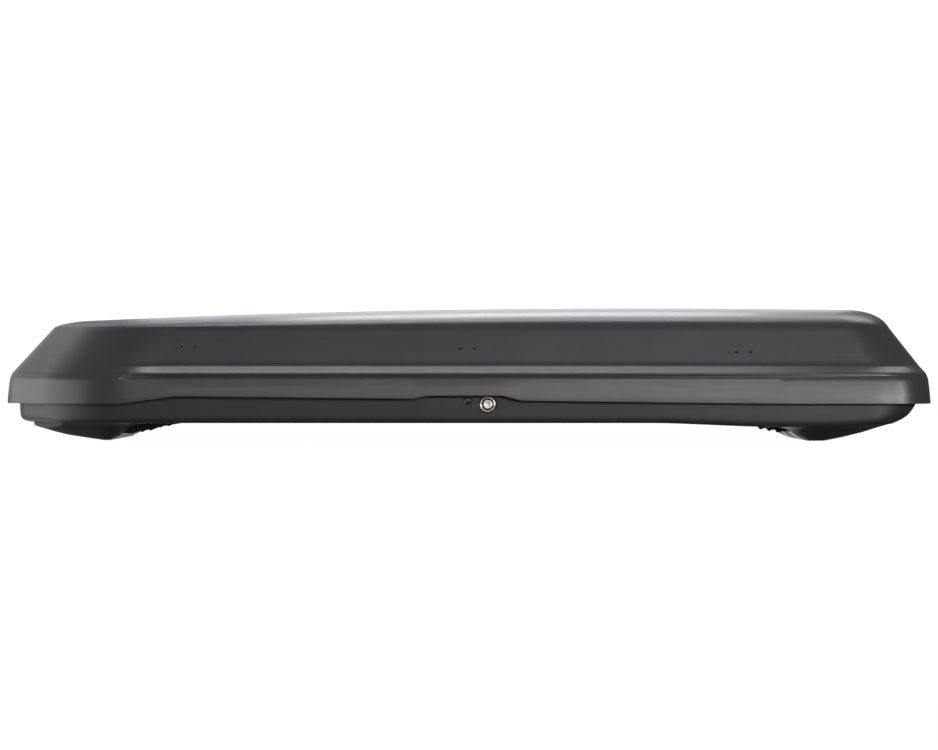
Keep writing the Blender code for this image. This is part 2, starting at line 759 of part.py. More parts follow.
def make_lock(plastic, chrome, black, steel):
    """The key cylinder in its bezel and housing, the cam behind it, and the screw beside it."""
    wall_out = -(HALF_WIDTH - BASE_SIDE_INSET)
    wall_in = wall_out + SHELL
    outward = (0.0, -1.0, 0.0)

    bezel_front = 0.0052
    bezel = [
        (BEZEL_BORE, bezel_front - 0.0012), (BEZEL_BORE + 0.0008, bezel_front), (BEZEL_RADIUS - 0.0014, bezel_front),
        (BEZEL_RADIUS, bezel_front - 0.0016), (BEZEL_RADIUS, GAP), (BEZEL_BORE, GAP),
    ]
    turned("lock_bezel", chrome, bezel, (LOCK_X, wall_out, LOCK_Z), outward, 32)

    tail = -(SHELL + 0.0113)
    key = [
        (0.0, 0.0046), (KEY_RADIUS - 0.0008, 0.0046), (KEY_RADIUS, 0.0038), (KEY_RADIUS, tail), (0.0, tail),
    ]
    cylinder = turned("key_cylinder", chrome, key, (LOCK_X, wall_out, LOCK_Z), outward, 24)
    cut(cylinder, block("keyway", chrome, (LOCK_X - 0.0012, wall_out - 0.006, LOCK_Z - 0.0045),
                        (LOCK_X + 0.0012, wall_out - 0.0022, LOCK_Z + 0.0045)))

    low, high = (-0.012, wall_in + 0.0004, 0.0640), (0.070, -0.3787, 0.1040)
    housing = block("lock_housing", plastic, low, high, 0.0020)
    cut(housing, rod("housing_bore", plastic, KEY_RADIUS + 0.0006, (LOCK_X, -0.395, LOCK_Z),
                     (LOCK_X, -0.370, LOCK_Z), 24))
    cut(housing, rod("housing_screw_bore", plastic, SCREW_HOLE, (LOCK_SCREW_X, -0.395, LOCK_SCREW_Z),
                     (LOCK_SCREW_X, -0.370, LOCK_SCREW_Z), 12))

    slant = math.sin(math.pi / 4)
    pin_x, pin_z = LOCK_X - CAM_THROW * slant, LOCK_Z + CAM_THROW * slant
    cam = rod("lock_cam", steel, 0.0150, (LOCK_X, -0.3783, LOCK_Z), (LOCK_X, -0.3755, LOCK_Z), 20)
    join(cam, rod("cam_pin", steel, 0.0026, (pin_x, -0.3765, pin_z), (pin_x, -0.3635, pin_z), 12))

    screw = [
        (0.0, 0.0030), (0.0042, 0.0030), (0.0046, 0.0020), (0.0050, 0.0012), (CUP_RADIUS - 0.0022, 0.0026),
        (CUP_RADIUS - 0.0006, 0.0020), (CUP_RADIUS, GAP), (SCREW_SHANK, GAP), (SCREW_SHANK, -0.0150), (0.0, -0.0150),
    ]
    turned("lock_screw", black, screw, (LOCK_SCREW_X, wall_out, LOCK_SCREW_Z), outward, 20)


# ---------------------------------------------------------------- the gas struts

def make_strut(end, steel, black, chrome):
    """A gas strut across the box at rest, with a bracket on the floor and one on the lid."""
    x = STRUT_X[end]
    foot = Vector((x, *STRUT_FOOT))
    head = Vector((x, *STRUT_HEAD))
    reach = (head - foot).normalized()
    aside = Vector((SOCKET * 0.6, 0.0, 0.0))

    tube_start = foot + reach * SOCKET * 0.5
    tube = rod(f"strut_tube_{end}", black, STRUT_TUBE, foot + reach * 0.018, foot + reach * TUBE_LENGTH, 14)
    join(tube, rod(f"foot_neck_{end}", black, 0.0045, tube_start, foot + reach * 0.020, 10))
    join(tube, rod(f"foot_socket_{end}", black, SOCKET, foot - aside, foot + aside, 14))
    bore_start = foot + reach * (TUBE_LENGTH - 0.190)
    bore_end = foot + reach * (TUBE_LENGTH + 0.01)
    cut(tube, rod(f"tube_bore_{end}", black, STRUT_ROD + 0.0006, bore_start, bore_end, 12))
    cut(tube, rod(f"foot_eye_{end}", black, 0.0044, foot - aside * 2, foot + aside * 0.5, 12))

    strut = rod(f"strut_rod_{end}", chrome, STRUT_ROD, foot + reach * (TUBE_LENGTH - 0.180), head, 12)
    join(strut, rod(f"head_socket_{end}", chrome, SOCKET, head - aside, head + aside, 14))

    plate_x = x - aside.x - 0.0020
    y, z = STRUT_FOOT
    floor = FLOOR_UNDER + SHELL + 0.0014
    outline = [(y - 0.022, floor), (y + 0.022, floor), (y + 0.010, z + 0.010), (y - 0.010, z + 0.010)]
    foot_plate = plate_across(f"strut_base_bracket_{end}", steel, outline, plate_x, 0.003)
    join(foot_plate, block(f"foot_flange_{end}", steel, (plate_x - 0.020, y - 0.022, floor),
                           (plate_x + 0.001, y + 0.022, floor + 0.003)))
    join(foot_plate, rod(f"foot_stud_{end}", steel, 0.0038, (plate_x, y, z), (x + aside.x * 0.3, y, z), 12))

    y, z = STRUT_HEAD
    roof = min(roof_height(x - 0.03, 0.0), roof_height(x + 0.02, 0.0)) - SHELL - 0.0008
    outline = [(y - 0.020, roof), (y - 0.010, z - 0.010), (y + 0.010, z - 0.010), (y + 0.020, roof)]
    head_plate = plate_across(f"strut_lid_bracket_{end}", steel, outline, plate_x, 0.003)
    join(head_plate, block(f"head_flange_{end}", steel, (plate_x - 0.020, y - 0.020, roof - 0.003),
                           (plate_x + 0.001, y + 0.020, roof)))


# ---------------------------------------------------------------- clamps, bars and straps

def make_clamp(end, side, plastic, steel, black):
    """A clamp: its body on the channel's ridge, the knob that turns on it, and the jaw that the knob draws."""
    x = CLAMP_ENDS[end] * CLAMP_X
    y = CLAMP_SIDES[side] * CHANNEL_Y
    name = f"{end}_{side}"
    ridge = FLOOR_UNDER + CHANNEL_RISE + SHELL + 0.0004
    deck = ridge + 0.009

    low, high = (x - 0.048, y - 0.027, ridge), (x + 0.048, y + 0.027, deck)
    body = block(f"clamp_body_{name}", plastic, low, high, 0.003)
    below = {
        "clamp_neck": ((-0.012, -0.010, 0.0600), (0.012, 0.010, deck - 0.003)),
        "clamp_beam": ((-0.046, -0.012, 0.0590), (0.048, 0.012, 0.0670)),
        "fixed_claw": ((-0.046, -0.012, 0.0440), (-0.034, 0.012, 0.0630)),
    }
    for part, (low, high) in below.items():
        low = (x + low[0], y + low[1], low[2])
        high = (x + high[0], y + high[1], high[2])
        join(body, block(f"{part}_{name}", plastic, low, high))

    height = 0.020
    knob = [(0.0, height), (0.014, height), (0.020, height - 0.003), (0.022, height - 0.008), (0.022, 0.004),
            (0.016, 0.0), (0.0, 0.0)]
    turned(f"clamp_knob_{name}", black, knob, (x, y, deck + GAP), (0.0, 0.0, 1.0), 20)
    block(f"clamp_jaw_{name}", steel, (x + 0.032, y - 0.012, 0.0440), (x + 0.046, y + 0.012, 0.0587), 0.001)


def make_floor_bar(side, y_sign, look):
    length, width, height = BAR_SIZE
    floor = FLOOR_UNDER + SHELL + 0.0013
    y = y_sign * BAR_Y
    low = (-length / 2, y - width / 2, floor)
    high = (length / 2, y + width / 2, floor + height)
    block(f"floor_bar_{side}", look, low, high, 0.002)


def make_strap(end, look):
    """A luggage strap lying across the floor and over its two ridges."""
    floor = FLOOR_UNDER + SHELL + 0.0018
    ridge = FLOOR_UNDER + CHANNEL_RISE + SHELL + 0.0018
    outer = CHANNEL_Y + CHANNEL_HALF
    inner = CHANNEL_Y - CHANNEL_HALF
    half = [(0.284, floor), (outer + 0.019, floor + 0.0005), (outer + 0.008, ridge), (inner - 0.008, ridge),
            (inner - 0.019, floor + 0.0005), (inner - 0.040, floor)]
    path = half + [(-y, z) for y, z in half[::-1]]
    plate_across(f"strap_{end}", look, ribbon(path, STRAP_THICKNESS), STRAP_X[end], STRAP_WIDTH)


# ---------------------------------------------------------------- the whole box

def build():
    clear_scene()
    new_collection(PARTS)
    new_collection(CUTTERS)
    shell_plastic = material("charcoal_shell", (0.045, 0.046, 0.050), 0.55)
    base_plastic = material("black_shell", (0.035, 0.035, 0.037), 0.60)
    plastic = material("black_plastic", (0.020, 0.020, 0.021), 0.50)
    rubber = material("black_rubber", (0.012, 0.012, 0.012), 0.85)
    chrome = material("chrome", (0.75, 0.73, 0.70), 0.25, 1.0)
    steel = material("zinc_steel", (0.55, 0.56, 0.58), 0.40, 1.0)
    black_steel = material("black_steel", (0.020, 0.020, 0.022), 0.45, 0.6)
    webbing = material("black_webbing", (0.020, 0.020, 0.020), 0.90)

    lid = make_lid(shell_plastic)
    for x, z in STATIONS.values():
        for side in (-1, 1):
            drill_rivets(lid, shell_plastic, side, x, z, RIVET_HOLE)
    make_base(base_plastic)
    make_trim(rubber)
    for station in STATIONS:
        make_hinge(station, steel, black_steel)
        make_striker(station, steel, black_steel)
    make_latch_rail(steel)
    for name in GUIDE_X:
        make_guide(name, plastic)
    make_lock(plastic, chrome, black_steel, steel)
    for end in STRUT_X:
        make_strut(end, steel, black_steel, chrome)
    for end in CLAMP_ENDS:
        for side in CLAMP_SIDES:
            make_clamp(end, side, plastic, steel, plastic)
    for side, y_sign in CLAMP_SIDES.items():
        make_floor_bar(side, y_sign, steel)
    for end in STRAP_X:
        make_strap(end, webbing)


build()
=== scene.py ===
"""Looks for the roof cargo box, in a white studio.

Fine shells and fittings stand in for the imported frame's plain solids, each on the body that it moves with.
"""

import json
import math

import bmesh
import bpy
from mathutils import Matrix, Vector


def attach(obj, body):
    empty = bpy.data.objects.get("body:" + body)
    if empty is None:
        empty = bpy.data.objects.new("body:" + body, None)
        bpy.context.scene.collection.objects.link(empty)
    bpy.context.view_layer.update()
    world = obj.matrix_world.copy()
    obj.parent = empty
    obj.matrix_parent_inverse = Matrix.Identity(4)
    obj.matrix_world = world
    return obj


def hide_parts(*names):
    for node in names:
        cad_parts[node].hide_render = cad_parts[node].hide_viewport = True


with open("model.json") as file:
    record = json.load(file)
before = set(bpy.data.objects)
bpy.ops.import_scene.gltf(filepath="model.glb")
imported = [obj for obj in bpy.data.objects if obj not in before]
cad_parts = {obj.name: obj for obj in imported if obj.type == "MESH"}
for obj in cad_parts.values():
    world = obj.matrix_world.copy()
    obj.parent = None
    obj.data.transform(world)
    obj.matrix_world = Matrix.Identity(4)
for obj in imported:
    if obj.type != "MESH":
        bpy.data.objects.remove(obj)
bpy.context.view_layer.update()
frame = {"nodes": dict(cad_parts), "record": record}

# Dimensions are in metres. The nose is at -X and the lock's side at -Y. A line is (x, z) points.
# A pair named for a change, such as GROOVE_STARTS, is where along X it begins and ends.

# The plan of both shells.
HALF_LENGTH = 1.015
HALF_WIDTH = 0.420
SHELL = 0.004
PLAN_CORNERS = (((-1.008, -0.215), 0.120), ((-0.835, -0.420), 0.250), ((1.003, -0.420), 0.130))
PLAN_STEP = 0.018
CORNER_TURN = math.radians(3.5)
SMOOTH_ANGLE = 32

# The lid.
LIP_LINE = (
    (-0.731, 0.0838), (-0.616, 0.0997), (-0.110, 0.0944), (0.119, 0.0906), (0.499, 0.0857), (0.711, 0.0838)
)
LOCK_NOTCH = ((-0.110, 0.0944), (-0.080, 0.1008), (0.081, 0.1008), (0.119, 0.0906))
NOTCH_EASE = 0.004
LIP_EASE = 0.006
LIP_ROUND = 0.0009
SKIRT_EDGE = 0.1372
BEAD_LEVEL = 0.1490
LEDGE_TOP = 0.1655
LEDGE_RISE = 0.0155
LEDGE_EASE = 0.0010
SKIRT_FLARE = 0.0048
SKIRT_BULGE = 1.5
GROOVE_DEPTH = 0.0045
GROOVE_STEP = (0.1372, 0.1386)
GROOVE_RISE = (0.1396, 0.1484)
GROOVE_LIFT = 0.0042
GROOVE_LIFTS = (0.64, 0.86)
GROOVE_STARTS = (-0.775, -0.650)
GROOVE_THINS = (0.30, 0.90)
GROOVE_ENDS = (0.88, 0.96)
LEDGE_RUN = 0.018
LEDGE_STARTS = (-0.785, -0.645)
WALL_LEAN = 0.209
BEAD_INSET = 0.009
NOSE_SLOPE = 0.91
TAIL_SLOPE = 0.78
SLOPE_ROUND = 0.002
LID_SHIFT_START = 0.55
RIDGE_HEIGHT = 0.2949
RIDGE_X = 0.36
RIDGE_FALL_FRONT = 0.0191
RIDGE_FALL_REAR = 0.0125
CROWN_DROP = 0.010
CROWN_HALF = 0.30
WALL_TOP = 0.2475
SHOULDER_WIDTH = 0.075
SHOULDER_RISE = 0.58
SHOULDER_REACH = 0.55
SHOULDER_LIFT = 0.6
FLUTE_Y = 0.150
FLUTE_HALF = 0.030
FLUTE_DEPTH = 0.004
FLUTE_FLAT = 0.4
FLUTE_STARTS = (-0.74, -0.62)
FLUTE_ENDS = (0.66, 0.78)

# How many rings of faces each part of the lid has, and how many rows cross its roof.
SKIRT_RINGS = 8
GROOVE_RINGS = 18
LEDGE_RINGS = 10
WALL_RINGS = 8
SHOULDER_RINGS = 12
ROOF_ROWS = 44

# The base.
BASE_INSETS = (0.026, 0.0265, 0.026)
BASE_WALL = HALF_WIDTH - BASE_INSETS[0]
RIM_TOP = 0.128
FLOOR_UNDER = 0.0414
EDGE_LEVEL = 0.0425
BASE_SHIFT_START = 0.86
POD_HALF = 0.180
POD_EDGE = 0.365
UNDER_LINE = (
    (-0.957, 0.0385), (-0.925, 0.0275), (-0.900, 0.0200), (-0.874, 0.0135), (-0.830, 0.0067),
    (-0.784, 0.0), (-0.7665, 0.0105), (-0.747, 0.0230), (-0.722, 0.0360), (-0.690, 0.0410),
    (-0.660, 0.0414), (0.560, 0.0414), (0.640, 0.0365), (0.681, 0.0318), (0.703, 0.0272),
    (0.7247, 0.0192), (0.754, 0.0), (0.790, 0.0), (0.829, 0.0076), (0.874, 0.0188), (0.918, 0.0335),
    (0.930, 0.0395),
)
UNDER_EASE = 0.004
EDGE_DROP = (
    (0.430, 0.0), (0.620, 0.0079), (0.700, 0.0088), (0.780, 0.0088), (0.850, 0.0048), (0.900, 0.0015),
    (0.930, 0.0),
)
DROP_EASE = 0.030
DROP_TOP = 0.105
DROP_Y = 0.325
DROP_BLEND = 0.045
DROP_WIDENS = (0.640, 0.720)
CHANNEL_Y = 0.220
CHANNEL_HALF = 0.032
CHANNEL_WALL = 0.010
CHANNEL_RISE = 0.030
CHANNEL_END = 0.540
CHANNEL_RAMP = 0.040
DECK = FLOOR_UNDER + SHELL
POD_SPAN = (-0.80, 0.86)
PLAN_NUDGE = 0.006

# Fittings.
STATIONS = {"front": (-0.588, 0.208), "middle": (0.006, 0.203), "rear": (0.594, 0.196)}
RIVET_PITCH = 0.030
LOCK_X, LOCK_Z = 0.0485, 0.0828
LOCK_BORE = 0.0125
SCREW_X, SCREW_Z = 0.0065, 0.0901
SCREW_BORE = 0.0034
ENDS = {"front": -1, "rear": 1}
SIDES = {"near": -1, "far": 1}
CLAMP_X = 0.400
CLAMP_SLOT = (0.022, 0.013)
SLOT_Z = (0.060, 0.090)
PAD_HALF = 0.0105
PAD_Z = (0.0450, 0.0575)
STRUT_X = 0.600
STRUT_FOOT = (0.300, 0.070)
STRUT_HEAD = (0.000, 0.235)
TUBE_LENGTH = 0.215
ROD_INSIDE = 0.16
STRAP_X = 0.200
STRAP_WIDTH = 0.025
ANCHOR_Y = 0.276
BAR_Y = 0.318
BAR_LENGTH = 1.10
WALL_NORMAL = Vector((0.0, 1.0, WALL_LEAN)).normalized()


# ---------------- materials

def add(tree, kind, settings=None, **inputs):
    """A node of a kind, with its settings and its inputs' values."""
    made = tree.nodes.new(kind)
    for name, value in (settings or {}).items():
        setattr(made, name, value)
    for name, value in inputs.items():
        made.inputs[name.replace("_", " ")].default_value = value
    return made


def new_material(name, colour, roughness, metallic=0.0):
    """A Principled material with one colour, and its node tree, shader and object coordinates."""
    made = bpy.data.materials.new(name)
    made.use_nodes = True
    made.diffuse_color = (*colour, 1.0)
    tree = made.node_tree
    shader = tree.nodes["Principled BSDF"]
    shader.inputs["Base Color"].default_value = (*colour, 1.0)
    shader.inputs["Roughness"].default_value = roughness
    shader.inputs["Metallic"].default_value = metallic
    return made, tree, shader, tree.nodes.new("ShaderNodeTexCoord").outputs["Object"]


def stretched(tree, coords, scale):
    """The coordinates scaled by its own amount along each axis."""
    mapping = add(tree, "ShaderNodeMapping", Scale=scale)
    tree.links.new(coords, mapping.inputs["Vector"])
    return mapping.outputs["Vector"]


def noise(tree, coords, scale, detail):
    """Cloudy noise of a scale, with this many finer layers."""
    made = add(tree, "ShaderNodeTexNoise", Scale=scale, Detail=detail, Roughness=0.55)
    tree.links.new(coords, made.inputs["Vector"])
    return made.outputs["Fac"]


def spread(tree, value, low, high, start=0.35, end=0.65):
    """The value's range from start to end, spread over low to high."""
    made = add(tree, "ShaderNodeMapRange", From_Min=start, From_Max=end, To_Min=low, To_Max=high)
    tree.links.new(value, made.inputs["Value"])
    return made.outputs["Result"]


def times(tree, first, second):
    """The product of two values."""
    made = add(tree, "ShaderNodeMath", {"operation": "MULTIPLY"})
    tree.links.new(first, made.inputs[0])
    tree.links.new(second, made.inputs[1])
    return made.outputs["Value"]


def paint(tree, shader, value, low, high):
    """Colours the surface from one colour to another, as value goes from 0 to 1."""
    mix = add(tree, "ShaderNodeMix", {"data_type": "RGBA"})
    mix.inputs["A"].default_value = (*low, 1.0)
    mix.inputs["B"].default_value = (*high, 1.0)
    tree.links.new(value, mix.inputs["Factor"])
    tree.links.new(mix.outputs["Result"], shader.inputs["Base Color"])


def dull(tree, shader, value, low, high):
    """Spreads the surface's roughness over low to high."""
    tree.links.new(spread(tree, value, low, high), shader.inputs["Roughness"])


def relief(tree, shader, heights):
    """Bumps the surface by (height output, depth) pairs, the coarse ones first."""
    normal = None
    for height, depth in heights:
        bump = add(tree, "ShaderNodeBump", Strength=1.0, Distance=depth)
        tree.links.new(height, bump.inputs["Height"])
        if normal:
            tree.links.new(normal, bump.inputs["Normal"])
        normal = bump.outputs["Normal"]
    tree.links.new(normal, shader.inputs["Normal"])


def shade(colour, factor):
    """A colour made darker or lighter."""
    return tuple(channel * factor for channel in colour)


def sheet_plastic(name, colour, roughness, gloss=0.5):
    """Vacuum-formed sheet: a matt grain, a faint waviness, dusty patches and hairline scuffs."""
    made, tree, shader, coords = new_material(name, colour, roughness)
    shader.inputs["Specular IOR Level"].default_value = gloss
    clouds = spread(tree, noise(tree, coords, 5.0, 4.0), 0.0, 1.0)
    paint(tree, shader, clouds, shade(colour, 0.94), shade(colour, 1.07))
    scuffs = noise(tree, stretched(tree, coords, (14.0, 160.0, 420.0)), 1.0, 2.0)
    dull(tree, shader, scuffs, roughness + 0.03, roughness - 0.03)
    grain = noise(tree, coords, 1500.0, 2.0)
    waves = noise(tree, coords, 7.0, 1.0)
    relief(tree, shader, [(waves, 0.0012), (grain, 0.00004)])
    return made


def moulded_plastic(name, colour, roughness):
    """Moulded plastic: a spark-eroded grain, and a paler colour on its sharp raised edges."""
    made, tree, shader, coords = new_material(name, colour, roughness)
    # The sharp raised edges are coloured paler, picked out by the mesh's pointiness.
    sharpness = add(tree, "ShaderNodeNewGeometry").outputs["Pointiness"]
    edges = spread(tree, sharpness, 0.0, 1.0, 0.52, 0.60)
    paint(tree, shader, edges, colour, shade(colour, 2.2))
    grain = noise(tree, coords, 900.0, 3.0)
    dull(tree, shader, grain, roughness - 0.06, roughness + 0.06)
    relief(tree, shader, [(grain, 0.00006)])
    return made


def rubber(name, colour, roughness):
    """Rubber: nearly black, with a dusty bloom and a fine skin."""
    made, tree, shader, coords = new_material(name, colour, roughness)
    bloom = spread(tree, noise(tree, coords, 60.0, 5.0), 0.0, 1.0)
    paint(tree, shader, bloom, colour, shade(colour, 1.8))
    relief(tree, shader, [(noise(tree, coords, 700.0, 3.0), 0.00008)])
    return made


def bright_metal(name, colour, roughness):
    """Plated metal: hairline polishing marks, and a gloss that dulls where it has been handled."""
    made, tree, shader, coords = new_material(name, colour, roughness, 1.0)
    dull(tree, shader, noise(tree, coords, 140.0, 4.0), roughness - 0.07, roughness + 0.12)
    lines = noise(tree, stretched(tree, coords, (900.0, 60.0, 900.0)), 1.0, 3.0)
    paint(tree, shader, spread(tree, lines, 0.0, 1.0), shade(colour, 0.86), shade(colour, 1.05))
    relief(tree, shader, [(lines, 0.00003)])
    return made


def zinc_plate(name, colour, roughness):
    """Zinc-plated sheet steel: a soft crystalline mottling and dull patches."""
    made, tree, shader, coords = new_material(name, colour, roughness, 1.0)
    crystals = add(tree, "ShaderNodeTexVoronoi", Scale=170.0)
    tree.links.new(coords, crystals.inputs["Vector"])
    tone = spread(tree, crystals.outputs["Distance"], 0.0, 1.0, 0.0, 0.8)
    paint(tree, shader, tone, shade(colour, 0.82), shade(colour, 1.06))
    dull(tree, shader, noise(tree, coords, 45.0, 4.0), roughness - 0.10, roughness + 0.12)
    relief(tree, shader, [(noise(tree, coords, 1100.0, 2.0), 0.00003)])
    return made


def coated_steel(name, colour, roughness):
    """Black-coated steel: an orange-peel coat, and a paler colour on its sharp edges."""
    made, tree, shader, coords = new_material(name, colour, roughness, 0.35)
    # The sharp edges are coloured paler, picked out by the mesh's pointiness.
    sharpness = add(tree, "ShaderNodeNewGeometry").outputs["Pointiness"]
    edges = spread(tree, sharpness, 0.0, 1.0, 0.53, 0.62)
    paint(tree, shader, edges, colour, (0.12, 0.12, 0.125))
    peel = noise(tree, coords, 520.0, 2.0)
    dull(tree, shader, peel, roughness - 0.05, roughness + 0.08)
    relief(tree, shader, [(peel, 0.00005)])
    return made


# Half of a wave texture's period at a scale of 1.
HALF_BAND = 0.157


def webbing(name, colour, roughness):
    """Woven webbing: cords along the strap crossed by its weft, painted shade between the cords and a painted
    highlight on them, and fuzzy threads.
    """
    made, tree, shader, coords = new_material(name, colour, roughness)
    heights = []
    for direction, cord in (("X", 0.0016), ("Y", 0.0011)):
        bands = {"bands_direction": direction}
        wave = add(tree, "ShaderNodeTexWave", bands, Scale=HALF_BAND / cord, Distortion=0.4)
        tree.links.new(coords, wave.inputs["Vector"])
        heights.append(wave.outputs["Fac"])
    weave = times(tree, *heights)
    # The colour follows the weave's heights: painted shade in the dips between the cords and a painted
    # highlight on their tops.
    paint(tree, shader, weave, shade(colour, 0.55), shade(colour, 1.9))
    relief(tree, shader, [(weave, 0.0003), (noise(tree, coords, 2500.0, 2.0), 0.00005)])
    return made


LOOKS = {
    name: maker(name, *values)
    for name, maker, *values in (
        ("charcoal_shell", sheet_plastic, (0.034, 0.0345, 0.0375), 0.315),
        ("black_shell", sheet_plastic, (0.027, 0.0266, 0.0262), 0.42, 0.36),
        ("black_plastic", moulded_plastic, (0.018, 0.018, 0.019), 0.48),
        ("black_rubber", rubber, (0.011, 0.011, 0.011), 0.80),
        ("chrome", bright_metal, (0.72, 0.69, 0.66), 0.24),
        ("satin_chrome", bright_metal, (0.66, 0.65, 0.62), 0.42),
        ("zinc_steel", zinc_plate, (0.56, 0.57, 0.59), 0.38),
        ("black_steel", coated_steel, (0.026, 0.026, 0.028), 0.27),
        ("black_webbing", webbing, (0.020, 0.020, 0.021), 0.88),
    )
}


# ---------------- meshes

def linked(name, data):
    """A new object, in the scene."""
    obj = bpy.data.objects.new(name, data)
    bpy.context.scene.collection.objects.link(obj)
    return obj


def smooth(mesh, angle):
    """Shades a mesh smooth, but for the edges sharper than an angle in degrees."""
    mesh.shade_smooth()
    mesh.set_sharp_from_angle(angle=math.radians(angle))


def mesh_object(name, shape, look, angle=SMOOTH_ANGLE):
    """A closed mesh of (points, faces) with its faces turned outward, smooth up to the angle in degrees."""
    points, faces = shape
    mesh = bpy.data.meshes.new(name)
    mesh.from_pydata([tuple(point) for point in points], [], faces)
    mesh.materials.append(LOOKS[look])
    bm = bmesh.new()
    bm.from_mesh(mesh)
    bmesh.ops.recalc_face_normals(bm, faces=bm.faces)
    bm.to_mesh(mesh)
    bm.free()
    smooth(mesh, angle)
    return linked(name, mesh)


def settle(obj, body, look, *nodes):
    """Puts a finished piece on its body and hides the CAD nodes that it stands for; the look it is given is
    not used.
    """
    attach(obj, body)
    if nodes:
        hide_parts(*nodes)


def piece(name, shape, look, body, *nodes, angle=SMOOTH_ANGLE, soft=0.0):
    """A mesh with its edges rounded by soft, settled on its body."""
    obj = mesh_object(name, shape, look, angle)
    if soft:
        soften(obj, soft)
    settle(obj, body, look, *nodes)


def soften(obj, width):
    """Rounds an object's sharp edges."""
    modifier = obj.modifiers.new("soften", "BEVEL")
    modifier.width = width
    modifier.segments = 2
    modifier.limit_method = "ANGLE"
    modifier.angle_limit = math.radians(35)


def carve(obj, shape):
    """Cuts a (points, faces) shape out of a piece, for good."""
    cutter = mesh_object("carver", shape, "black_plastic")
    cut = obj.modifiers.new("carve", "BOOLEAN")
    cut.object = cutter
    graph = bpy.context.evaluated_depsgraph_get()
    obj.data = bpy.data.meshes.new_from_object(obj.evaluated_get(graph))
    obj.modifiers.clear()
    bpy.data.objects.remove(cutter)


def lathe(profile, place, direction, sides=40, lobes=0, lobe_depth=0.0):
    """(points, faces) of a turned piece, whose (radius, height) points run down its outer side.

    A profile that starts off the axis makes a ring.
    """
    turn = Matrix.Translation(place) @ Vector(direction).to_track_quat("Z", "Y").to_matrix().to_4x4()
    points, rings, faces = [], [], []
    for radius, height in profile:
        if radius == 0.0:
            rings.append([len(points)] * sides)
            points.append(turn @ Vector((0.0, 0.0, height)))
            continue
        rings.append(list(range(len(points), len(points) + sides)))
        for k in range(sides):
            angle = 2 * math.pi * k / sides
            reach = radius * (1.0 + lobe_depth * math.cos(lobes * angle))
            points.append(turn @ Vector((reach * math.cos(angle), reach * math.sin(angle), height)))
    pairs = list(zip(rings, rings[1:]))
    if profile[0][0] > 0.0:
        pairs.append((rings[-1], rings[0]))
    for upper, lower in pairs:
        for k in range(sides):
            following = (k + 1) % sides
            corners = tuple(dict.fromkeys((lower[k], lower[following], upper[following], upper[k])))
            if len(corners) > 2:
                faces.append(corners)
    return points, faces


def merged(parts):
    """One (points, faces) from several."""
    points, faces = [], []
    for more_points, more_faces in parts:
        start = len(points)
        points += more_points
        faces += [tuple(start + i for i in face) for face in more_faces]
    return points, faces


def slab(outline, axis, low, high):
    """(points, faces) of a flat outline of (u, v) points, swept along an axis from low to high."""
    order = {"x": (2, 0, 1), "y": (0, 2, 1), "z": (0, 1, 2)}[axis]
    count = len(outline)
    points = [Vector([(u, v, w)[i] for i in order]) for w in (low, high) for u, v in outline]
    faces = [tuple(range(count)), tuple(range(2 * count - 1, count - 1, -1))]
    faces += [(i, (i + 1) % count, count + (i + 1) % count, count + i) for i in range(count)]
    return points, faces


def brick(low, high):
    """(points, faces) of a box between two corners."""
    outline = [(low[0], low[1]), (high[0], low[1]), (high[0], high[1]), (low[0], high[1])]
    return slab(outline, "z", low[2], high[2])


def strip(path, x, width, thickness):
    """(points, faces) of a strap along a path of (y, z) points, centred on x."""
    above, below = [], []
    for i, point in enumerate(path):
        tangent = Vector(path[min(i + 1, len(path) - 1)]) - Vector(path[max(i - 1, 0)])
        normal = tangent.normalized().orthogonal() * thickness / 2
        above.append(tuple(Vector(point) + normal))
        below.append(tuple(Vector(point) - normal))
    return slab(above + below[::-1], "x", x - width / 2, x + width / 2)


def rounded(path, reach=0.006, pieces=4):
    """A path with each inner corner rounded off within reach of it, in this many pieces."""
    points = [Vector(path[0])]
    for before, corner, after in zip(path, path[1:], path[2:]):
        before, corner, after = Vector(before), Vector(corner), Vector(after)
        start = corner + (before - corner).normalized() * min(reach, (before - corner).length / 2)
        end = corner + (after - corner).normalized() * min(reach, (after - corner).length / 2)
        for i in range(pieces + 1):
            t = i / pieces
            points.append(start.lerp(corner, t).lerp(corner.lerp(end, t), t))
    return [tuple(point) for point in points] + [tuple(path[-1])]


# ---------------- shell formulas

def ramp(value, low, high):
    """0 below low, 1 above high, and a smooth turn between them."""
    t = min(max((value - low) / (high - low), 0.0), 1.0)
    return t * t * (3.0 - 2.0 * t)


def steps(low, high, count):
    """Evenly spaced values from just above low up to high."""
    return [low + (high - low) * i / count for i in range(1, count + 1)]


def along(points, x):
    """The height at x on a line given by (x, height) points, level beyond its ends."""
    if x <= points[0][0]:
        return points[0][1]
    for (x0, z0), (x1, z1) in zip(points, points[1:]):
        if x <= x1:
            return z0 + (z1 - z0) * (x - x0) / (x1 - x0)
    return points[-1][1]


def softly_along(points, x, reach):
    """The same height with the line's corners eased over reach."""
    return (along(points, x - reach) + 2 * along(points, x) + along(points, x + reach)) / 4


def corner_arc(before, corner, after, radius):
    """The points of the arc that rounds a corner of the plan."""
    corner = Vector(corner)
    inward = (Vector(before) - corner).normalized()
    onward = (Vector(after) - corner).normalized()
    turn = math.pi - inward.angle(onward)
    start = corner + inward * radius * math.tan(turn / 2)
    centre = start - inward.orthogonal() * radius
    pieces = round(turn / CORNER_TURN)
    return [centre + Matrix.Rotation(turn * i / pieces, 2) @ (start - centre) for i in range(pieces + 1)]


def run(start, end):
    """Evenly spaced points strictly between two others."""
    pieces = max(1, round((end - start).length / PLAN_STEP))
    return [start.lerp(end, i / pieces) for i in range(1, pieces)]


